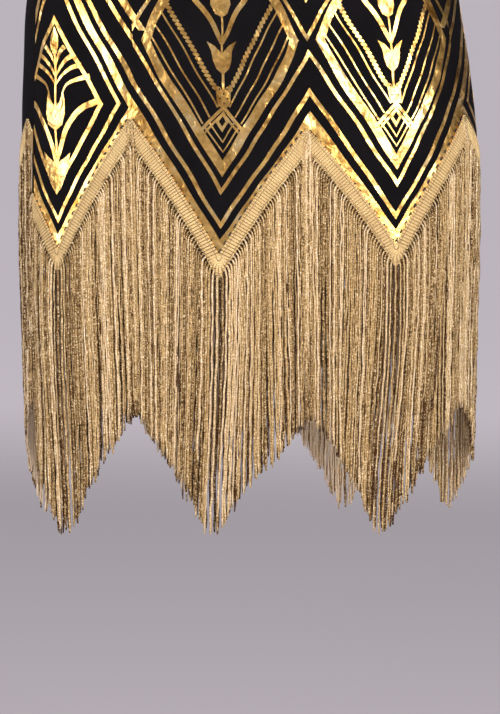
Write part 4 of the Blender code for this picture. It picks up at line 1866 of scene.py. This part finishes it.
@dataclass
class Braid:
    """The gold heading of the fringe: a band of doubled cords that lie square to its run."""

    form: DressForm
    side: Side
    pitch: float = 0.00265
    depth: float = 0.0119
    shortest: float = 0.0012
    longest: float = 0.0195
    lift: float = 0.00135
    cord: float = 0.00098
    mitre_share: float = 0.66
    seam_margin: float = 0.0005
    fan_step: float = 0.24
    fan_start: float = 0.0010
    ground: Pair = (0.0003, 0.0010)
    ground_step: float = 0.0032
    ground_rows: int = 6
    knot_half: float = 0.0010
    knot_rise: float = 0.0003
    knot_size: Pair = (0.0013, 0.0015)
    chain_rows: Pair = (0.17, 0.84)
    chain_from: float = 0.6
    chain_half: float = 0.00125
    chain_size: Pair = (0.0006, 0.0007)
    chain_lift: float = 0.00042
    # pitch, length, width and height above the edge, on arms that rise and on arms that fall
    rising_tacks: tuple = (0.0078, 0.0036, 0.0013, 0.0019)
    falling_tacks: tuple = (0.0070, 0.0015, 0.0012, 0.0012)
    tack_thick: float = 0.0012
    tack_lift: float = 0.0010

    def surface(self, flat: Array, out: float) -> Array:
        """From metres across and down, on straight arms, to a point outside the cloth."""
        share = flat[..., 0] / self.form.girth
        return self.form.body(share, flat[..., 1] + Hem(self.side).swell(share), out)

    def corners(self) -> list[Array]:
        """The hem's turning points, in metres across and down."""
        return [np.array((share * self.form.girth, drop)) for share, drop, _ in self.side.turns]

    def bars(self, pitch: float, fan_step: float) -> tuple[Array, Array]:
        """Flat starts and ends of cords that lie square to the run.

        Args:
            pitch: from one to the next.
            fan_step: angle between those round a low point.

        Returns:
            Starts and ends, in metres across and down.
        """
        corners = self.corners()
        final = len(corners) - 2
        starts, ends = [], []
        for number, (a, b) in enumerate(zip(corners, corners[1:])):
            length = float(np.linalg.norm(b - a))
            run = (b - a) / length
            down = np.array([-run[1], run[0]])
            high_at_start = b[1] > a[1]
            at_seam = (number == 0 and high_at_start) or (number == final and not high_at_start)
            over_seam = (number == 0 and down[0] < 0) or (number == final and down[0] > 0)
            count = max(round(length / pitch), 1)
            for k in range(count):
                along = (k + 0.5) * length / count
                to_high = along if high_at_start else length - along
                reach = self.depth if at_seam else min(self.depth, self.mitre_share * to_high)
                if over_seam:
                    to_seam = along if number == 0 else length - along
                    reach = min(reach, abs(run[0] / down[0]) * to_seam + self.seam_margin)
                starts.append(a + run * along)
                ends.append(starts[-1] + down * max(reach, self.shortest))
            if high_at_start and number < final:
                after = corners[number + 2] - b
                first, last = -math.atan2(abs(run[1]), run[0]), math.atan2(abs(after[1]), after[0])
                for turn in np.arange(first + fan_step / 2, last, fan_step):
                    steep = -first if turn < 0 else last
                    reach = min(self.depth / math.cos(steep - abs(turn)), self.longest)
                    ray = np.array([math.sin(turn), math.cos(turn)])
                    starts.append(b + ray * self.fan_start)
                    ends.append(b + ray * reach)
        return np.array(starts), np.array(ends)

    def spots(self, start: Array, end: Array, size: Pair, out: float) -> Spots:
        """Places for copies that reach from start to end.

        Args:
            start: their starts, in metres across and down.
            end: their ends.
            size: their width and thickness.
            out: how far outside the cloth they are.

        Returns:
            The places.
        """
        probe = 0.001
        run = self.surface(end, out) - self.surface(start, out)
        length = np.linalg.norm(run, axis=1)
        middle = self.surface((start + end) / 2, out)
        facing = (self.surface((start + end) / 2, out + probe) - middle) * 1000
        widths, depths = (np.full(len(run), measure) for measure in size)
        return Spots(middle, run / length[:, None], facing, np.stack([widths, depths, length], axis=-1))

    def band(self, material: Material) -> Piece:
        """Makes the ground that the cords lie on."""
        hem = Hem(self.side)
        shares = hem.shares(self.ground_step)
        shares[0] += self.form.seam_gap / 2
        shares[-1] -= self.form.seam_gap / 2
        parts = np.linspace(0.0, 1.0, self.ground_rows)
        rows = [hem.edge(shares) + part * hem.heading_depth for part in parts]
        inner, outer = (np.array([self.form.body(shares, drop, out) for drop in rows]) for out in self.ground)
        uv = np.array([np.stack([shares * self.form.girth, drop], axis=-1) for drop in rows])
        return add_wall(f"{self.side.word}_braid_ground", outer, inner, material, uv)

    def build(self, stitches: StitchTree, templates: Templates, finishes: Finishes) -> list[Piece]:
        """Makes the ground band, the cords, the rows of knots and the black tacks.

        Args:
            stitches: what copies the small shapes.
            templates: the small shapes.
            finishes: the materials.

        Returns:
            The pieces.
        """
        word = self.side.word
        band = self.band(finishes.ground)
        starts, ends = self.bars(self.pitch, self.fan_step)
        spots = self.spots(starts, ends, (self.cord, self.cord), self.lift)
        cords = stitches.sew(f"{word}_braid_cords", spots, templates.bar, finishes.braid, 3)
        down = unit(ends - starts)
        aside = np.stack([down[:, 1], -down[:, 0]], axis=-1)
        cross, rise = aside * self.knot_half, down * self.knot_rise
        spots = self.spots(starts - cross - rise, starts + cross - rise, self.knot_size, self.lift)
        knots = stitches.sew(f"{word}_braid_knots", spots, templates.knot, finishes.braid, 5)
        whole = np.linalg.norm(ends - starts, axis=1) > self.chain_from * self.depth
        cross = aside[whole] * self.chain_half
        rows, out = [], self.lift + self.chain_lift
        for part in self.chain_rows:
            middle = (starts + (ends - starts) * part)[whole]
            rows.append(self.spots(middle - cross, middle + cross, self.chain_size, out))
        chain = stitches.sew(f"{word}_braid_chain", Spots.joined(rows), templates.knot, finishes.ground, 6)
        spots = self.tacks()
        tacks = stitches.sew(f"{word}_braid_tacks", spots, templates.thread, finishes.black_thread, 7)
        return [band, cords, knots, chain, tacks]

    def tacks(self) -> Spots:
        """Finds where black stitches hold the braid's upper edge down.

        Returns:
            Their places.
        """
        corners = self.corners()
        parts = []
        for a, b in zip(corners, corners[1:]):
            length = float(np.linalg.norm(b - a))
            run = (b - a) / length
            up = np.array([run[1], -run[0]])
            pitch, dash, wide, high = self.rising_tacks if b[1] < a[1] else self.falling_tacks
            middles = np.arange(pitch * 0.5, length - dash / 2, pitch)
            if len(middles):
                middle = a + run * middles[:, None] + up * high
                start, end = middle - run * dash / 2, middle + run * dash / 2
                parts.append(self.spots(start, end, (wide, self.tack_thick), self.tack_lift))
        return Spots.joined(parts)


@dataclass
class Fringe:
    """The strands of one side, in an outer and an inner layer."""

    form: DressForm
    braid: Braid
    seed: int
    # lowest and highest tone of the outer and of the inner layer: random per strand, and kept low on the
    # inner layer as painted shade
    shade_ranges: tuple = ((0.34, 0.80), (0.0, 0.24))
    layers: tuple = (("outer", 0, 0.0011), ("inner", 1, -0.0008))
    # shares over which the inner strands' tone rises, and how far: painted light
    turned: Pair = (0.250, 0.280)
    turned_painted_light: float = 0.6
    fall: float = 0.0034
    raggedness: float = 0.0026
    clump: float = 0.009
    loose: float = 0.16
    gather: float = 0.17
    uneven_gather: Pair = (0.3, 1.2)
    stray: float = 0.0008
    bend: float = 0.013
    pitch: float = 0.00158
    fan_step: float = 0.12
    tuck: float = 0.0012
    outward: float = 0.004
    parting: float = 0.0003
    parting_width: float = 0.004
    uneven_depth: float = 0.0004
    low_from: float = 0.58
    low_width: float = 0.022
    low_shift: float = 0.008
    low_gain: float = 0.004
    # share, how far the tips hang aside
    leans: ClassVar[Array] = np.array((
        (-0.2015, 0.002),
        (-0.167, 0.005),
        (-0.089, 0.003),
        (-0.008, -0.007),
        (0.070, 0.004),
        (0.148, -0.010),
        (0.221, 0.0),
        (0.344, 0.0),
    ))

    def strands(self, start: int, out: float) -> tuple[Array, dict[str, Array]]:
        """Shapes every second strand.

        Args:
            start: the first one's number.
            out: how far outside the cloth they leave the braid.

        Returns:
            Their roots, and the numbers that shape them.
        """
        rng = np.random.default_rng(self.seed + start)
        side, girth, probe = self.braid.side, self.form.girth, 0.002
        starts, ends = self.braid.bars(self.pitch, self.fan_step)
        end = ends[start::2]
        run = unit(end - starts[start::2])
        count = len(end)
        root = self.braid.surface(end - run * self.tuck, out + rng.normal(0.0, self.uneven_depth, count))
        leave = unit(self.braid.surface(end + run * probe, out) - self.braid.surface(end, out))
        across = end[:, 0] + run[:, 0] * self.outward
        # each strand belongs to the low point that is nearest to it
        inner_turns = side.turns[1:-1]
        lows = inner_turns[inner_turns[:, 1] > self.low_from, 0] * girth
        from_low = across - lows[np.argmin(abs(across[:, None] - lows[None]), axis=1)]
        near_low = np.exp(-((from_low / self.low_width) ** 2))
        shift = np.clip(from_low, -self.low_shift, self.low_shift) * near_low
        share = np.clip((across - shift) / girth, *side.seams)
        reach = Hem(side).tips(share) + root[:, 2] + self.bend / 3 + rng.normal(0.0, self.raggedness, count)
        reach += self.low_gain * near_low - self.low_gain * (1 - near_low)
        group = np.round(from_low / self.clump + rng.normal(0, self.loose, count))
        middle = across - from_low + group * self.clump
        pull = (middle - across) * self.gather * rng.uniform(*self.uneven_gather, count)
        pull += rng.normal(0.0, self.stray, count)
        pull += np.interp(share, self.leans[:, 0], self.leans[:, 1])
        pull += np.sign(from_low) * self.parting * np.exp(-((from_low / self.parting_width) ** 2))
        # past the wearer's left side the inner strands are the ones that show, through the gaps in front;
        # they lie in shadow there, and painted light raises their tone
        turned = np.clip((share - self.turned[0]) / (self.turned[1] - self.turned[0]), 0.0, 1.0) * start
        body = self.form.body
        aside = unit(body((across + probe) / girth, end[:, 1]) - body(across / girth, end[:, 1]))
        gather = aside * pull[:, None]
        gather += np.stack([-aside[:, 1], aside[:, 0], aside[:, 2]], axis=1) * self.fall
        gather[:, 2] = 0
        tint = rng.uniform(*self.shade_ranges[start], count) + turned * self.turned_painted_light
        return root, {"root": root, "leave": leave, "reach": reach, "tint": tint, "gather": gather}

    def build(self, tree: StrandTree, templates: Templates, finishes: Finishes) -> list[Piece]:
        """Makes both layers.

        Args:
            tree: what copies and shapes the strands.
            templates: the small shapes.
            finishes: the materials.

        Returns:
            The pieces.
        """
        made = []
        for word, start, out in self.layers:
            place, numbers = self.strands(start, out)
            points = points_object(f"{self.braid.side.word}_fringe_{word}", place, numbers)
            made.append(tree.make(points, templates.strand, finishes.strand, self.seed))
        return made


# ---- tapes


@dataclass
class Tapes:
    """The bound neckline and armholes, from the edges of the two finished panels."""

    form: DressForm
    front: Panel
    back: Panel
    width: float = 0.008
    thickness: float = 0.0020
    # along the tape's width, and up through its thickness, from 0 to 1
    profile: tuple = (
        (0.0, 0.0), (0.06, 0.30), (0.02, 0.72), (0.12, 1.0), (0.30, 0.90), (0.86, 0.92), (1.0, 0.60),
        (0.98, 0.10), (0.60, 0.0),
    )
    stitch_line: Pair = (0.80, 0.94)
    stitch_pitch: float = 0.0030
    stitch_size: Triple = (0.0006, 0.0006, 0.0019)

    def edges(self) -> dict[str, Array]:
        """Finds the openings' edges on the panels.

        Returns:
            Closed rows of outer and inner edge points, one for each opening.
        """
        front, back = (np.stack([p.outer, p.inner], axis=2) for p in (self.front, self.back))
        (f, f_end), (b, b_end) = self.front.corners, self.back.corners
        rows = self.front.yoke_rows + 1
        return {
            "neck_tape": self.closed(front[0][f : f_end + 1], back[0][b : b_end + 1]),
            "armhole_tape_left": self.closed(front[:rows, -1], back[:rows, 0][::-1]),
            "armhole_tape_right": self.closed(front[:rows, 0], back[:rows, -1][::-1]),
        }

    @staticmethod
    def closed(first: Array, second: Array) -> Array:
        """One closed row from two, whose ends meet in pairs."""
        start, turn = (first[0] + second[-1]) / 2, (first[-1] + second[0]) / 2
        return np.concatenate([[start], first[1:-1], [turn], second[1:-1]])

    def row(self, outer: Array, away: Array, normal: Array, place: Pair) -> Array:
        """Points that run along the tape.

        Args:
            outer: the opening's edge.
            away: directions across the tape.
            normal: directions out of the cloth.
            place: shares of the tape's width and thickness.

        Returns:
            The points.
        """
        low = -(self.thickness + self.form.cloth) / 2
        across, up = self.form.seam_gap + self.width * place[0], low + self.thickness * place[1]
        return outer + away * across + normal * up

    def stitches(self, row: Array, normal: Array) -> Spots:
        """Divides a closed row into stitches.

        Args:
            row: its points.
            normal: directions out of the cloth.

        Returns:
            Their places.
        """
        probe, least = 0.001, 1e-6
        row, normal = (np.concatenate([closed, closed[:1]]) for closed in (row, normal))
        far = lengths_along(row)
        at = np.arange(0.0, far[-1], self.stitch_pitch)
        place, ahead, facing = (
            np.stack([np.interp(where, far, values[:, k]) for k in range(3)], axis=-1)
            for where, values in ((at, row), (at + probe, row), (at, normal))
        )
        run = ahead - place
        length = np.linalg.norm(run, axis=1)[:, None]
        run = np.where(length > least, run / np.maximum(length, least), [1.0, 0.0, 0.0])
        return Spots(place, run, facing, np.tile(self.stitch_size, (len(at), 1)))

    def build(self, tree: StitchTree, templates: Templates, finishes: Finishes) -> dict[str, list[Piece]]:
        """Makes each tape with its row of stitches.

        Args:
            tree: what copies the stitches.
            templates: the small shapes.
            finishes: the materials.

        Returns:
            The pieces by the tape's name.
        """
        made = {}
        for name, edge in self.edges().items():
            outer, inner = edge[:, 0], edge[:, 1]
            normal = unit(outer - inner)
            away = unit(np.cross(np.roll(outer, -1, axis=0) - np.roll(outer, 1, axis=0), normal))
            away *= np.sign(np.sum(away * (outer.mean(axis=0) - outer), axis=1))[:, None]
            grid = np.stack([self.row(outer, away, normal, place) for place in self.profile], axis=1)
            count, sides = grid.shape[:2]
            across = np.arange(sides) * self.width / sides
            uv = np.stack(np.broadcast_arrays(lengths_along(outer)[:, None], across), axis=-1).reshape(-1, 2)
            faces = ring_faces(count, sides, closed=True)
            tape = add_mesh(name, grid.reshape(-1, 3), faces, finishes.knit, uv)
            spots = self.stitches(self.row(outer, away, normal, self.stitch_line), normal)
            sewn = tree.sew(f"{name}_stitches", spots, templates.thread, finishes.black_thread, 11)
            made[name] = [tape, sewn]
        return made


# ---- studio


@dataclass(frozen=True)
class SoftBox:
    """A rectangular light that looks at the dress."""

    name: str
    azimuth: float
    elevation: float
    away: float
    size: Pair
    power: float
    color: Triple


@dataclass
class Studio:
    """Floor, lights and camera for a close view of the lower front."""

    floor_drop: float = 1.4
    floor_radius: float = 700.0
    azimuth: float = 10.0
    elevation: float = 6.0
    distance: float = 3.2
    target: Triple = (0.0, 0.0, -0.7447)
    right_shift: float = 0.00288
    lens: float = 179.3
    world_color: Triple = (0.56, 0.525, 0.555)
    world_strength: float = 0.55
    world_shade: float = 0.88
    sensor: float = 36.0
    sight: float = 3000.0
    lit_drop: float = 0.60
    boxes: tuple = (
        SoftBox("right_box", 40, 16, 2.4, (0.8, 1.8), 62, (1.0, 0.96, 0.90)),
        SoftBox("left_box", -62, 10, 2.4, (0.5, 1.8), 34, (1.0, 0.96, 0.92)),
        SoftBox("overhead_box", 0, 58, 2.8, (1.8, 1.2), 34, (1.0, 0.98, 0.97)),
    )

    def direction(self, azimuth: float, elevation: float) -> Vector:
        """Unit vector from the dress to a viewer. Azimuth 0 is in front, and 90 on the wearer's left."""
        a, e = math.radians(azimuth), math.radians(elevation)
        return Vector((math.sin(a) * math.cos(e), -math.cos(a) * math.cos(e), math.sin(e)))

    def floor(self) -> Piece:
        """The floor."""
        mesh = bpy.data.meshes.new("studio_floor")
        r = self.floor_radius
        corners = [(x, y, -self.floor_drop) for x, y in ((-r, -r), (r, -r), (r, r), (-r, r))]
        mesh.from_pydata(corners, [], [(0, 1, 2, 3)])
        mesh.materials.append(FloorFinish().material())
        return link("studio_floor", mesh)

    def light(self, box: SoftBox) -> Piece:
        """Adds a soft box.

        Args:
            box: its settings.

        Returns:
            The light.
        """
        data = bpy.data.lights.new(box.name, "AREA")
        data.shape, data.size, data.size_y = "RECTANGLE", *box.size
        data.energy, data.color = box.power, box.color
        made = link(box.name, data)
        toward = self.direction(box.azimuth, box.elevation)
        made.location = Vector((0, 0, -self.lit_drop)) + toward * box.away
        made.rotation_euler = toward.to_track_quat("Z", "Y").to_euler()
        made.visible_camera = False
        return made

    def camera(self) -> None:
        """Adds the camera."""
        data = bpy.data.cameras.new("camera")
        data.lens, data.sensor_width, data.sensor_fit = self.lens, self.sensor, "AUTO"
        data.clip_end = self.sight
        made = link("camera", data)
        toward = self.direction(self.azimuth, self.elevation)
        a = math.radians(self.azimuth)
        middle = Vector(self.target) + Vector((math.cos(a), math.sin(a), 0)) * self.right_shift
        made.location = middle + toward * self.distance
        made.rotation_euler = toward.to_track_quat("Z", "Y").to_euler()
        bpy.context.scene.camera = made

    def world(self) -> None:
        """Sets the even light around."""
        world = bpy.data.worlds.new("studio")
        world.use_nodes = True
        tree = Tree(world.node_tree)
        toward = tree.node("ShaderNodeTexCoord").outputs["Generated"]
        split = tree.node("ShaderNodeSeparateXYZ", None, {0: toward})
        across, back = (Value(tree, split.outputs[name]) for name in "XY")
        shade = across.ramp(0.15, 0.75) * back.ramp(-0.35, 0.35) * self.world_shade
        background = world.node_tree.nodes["Background"]
        background.inputs["Color"].default_value = (*self.world_color, 1.0)
        tree.feed(background.inputs["Strength"], (1.0 - shade) * self.world_strength)
        bpy.context.scene.world = world

    def build(self) -> list[Piece]:
        """Makes everything.

        Returns:
            The floor and the lights, which aren't part of the dress.
        """
        self.world()
        lights = [self.light(box) for box in self.boxes]
        self.camera()
        bpy.context.scene.view_settings.view_transform = "Standard"
        return [self.floor(), *lights]


# ---- all together


def attach(pieces: list[Piece], slot: str, *nodes: str) -> None:
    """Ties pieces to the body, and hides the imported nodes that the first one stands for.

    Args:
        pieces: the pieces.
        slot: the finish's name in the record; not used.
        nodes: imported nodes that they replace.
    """
    for made in pieces:
        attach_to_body(made, "root")
    if nodes:
        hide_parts(*nodes)


def main() -> None:
    """Builds the dress and its studio."""
    form = DressForm()
    finishes = Finishes()
    templates = Templates(finishes.braid)
    stitches = StitchTree(0.05)
    strands = StrandTree(0.00100, Fringe.bend, 0.010, 0.0030)
    front, back = (Panel(form, side) for side in Side)
    cloths = [front.build(finishes.printed_knit), back.build(finishes.knit)]
    foil = Foil(form).build(finishes.foil)
    tapes = Tapes(form, front, back).build(stitches, templates, finishes)
    # the back's inner strands get a higher tone: painted light on the shaded inside
    back_shades = ((0.20, 0.80), (0.30, 0.80))
    for panel, cloth, slot, seed, shade_ranges, extras in (
        (front, cloths[0], "printed_knit", 21, Fringe.shade_ranges, [foil, *sum(tapes.values(), [])]),
        (back, cloths[1], "black_knit", 57, back_shades, []),
    ):
        side, word = panel.side, panel.side.word
        braid = Braid(form, side)
        heading = braid.build(stitches, templates, finishes)
        fringe = Fringe(form, braid, seed, shade_ranges).build(strands, templates, finishes)
        attach([cloth], slot, f"{word}_panel")
        attach(heading, "gold_braid", f"fringe_heading_{word}")
        attach(fringe, "gold_fringe", f"fringe_{word}")
        pieces = extras + heading + fringe
        for made in [cloth] + pieces:
            log.info("%s: %d faces", made.name, len(made.data.polygons))
    attach([foil], "printed_knit")
    for name, pieces in tapes.items():
        attach(pieces, "black_knit", name.replace("tape", "binding"))
    templates.remove()
    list(Studio().build())


if __name__ == "__main__":
    logging.basicConfig(level=logging.INFO, format="%(message)s")
    main()
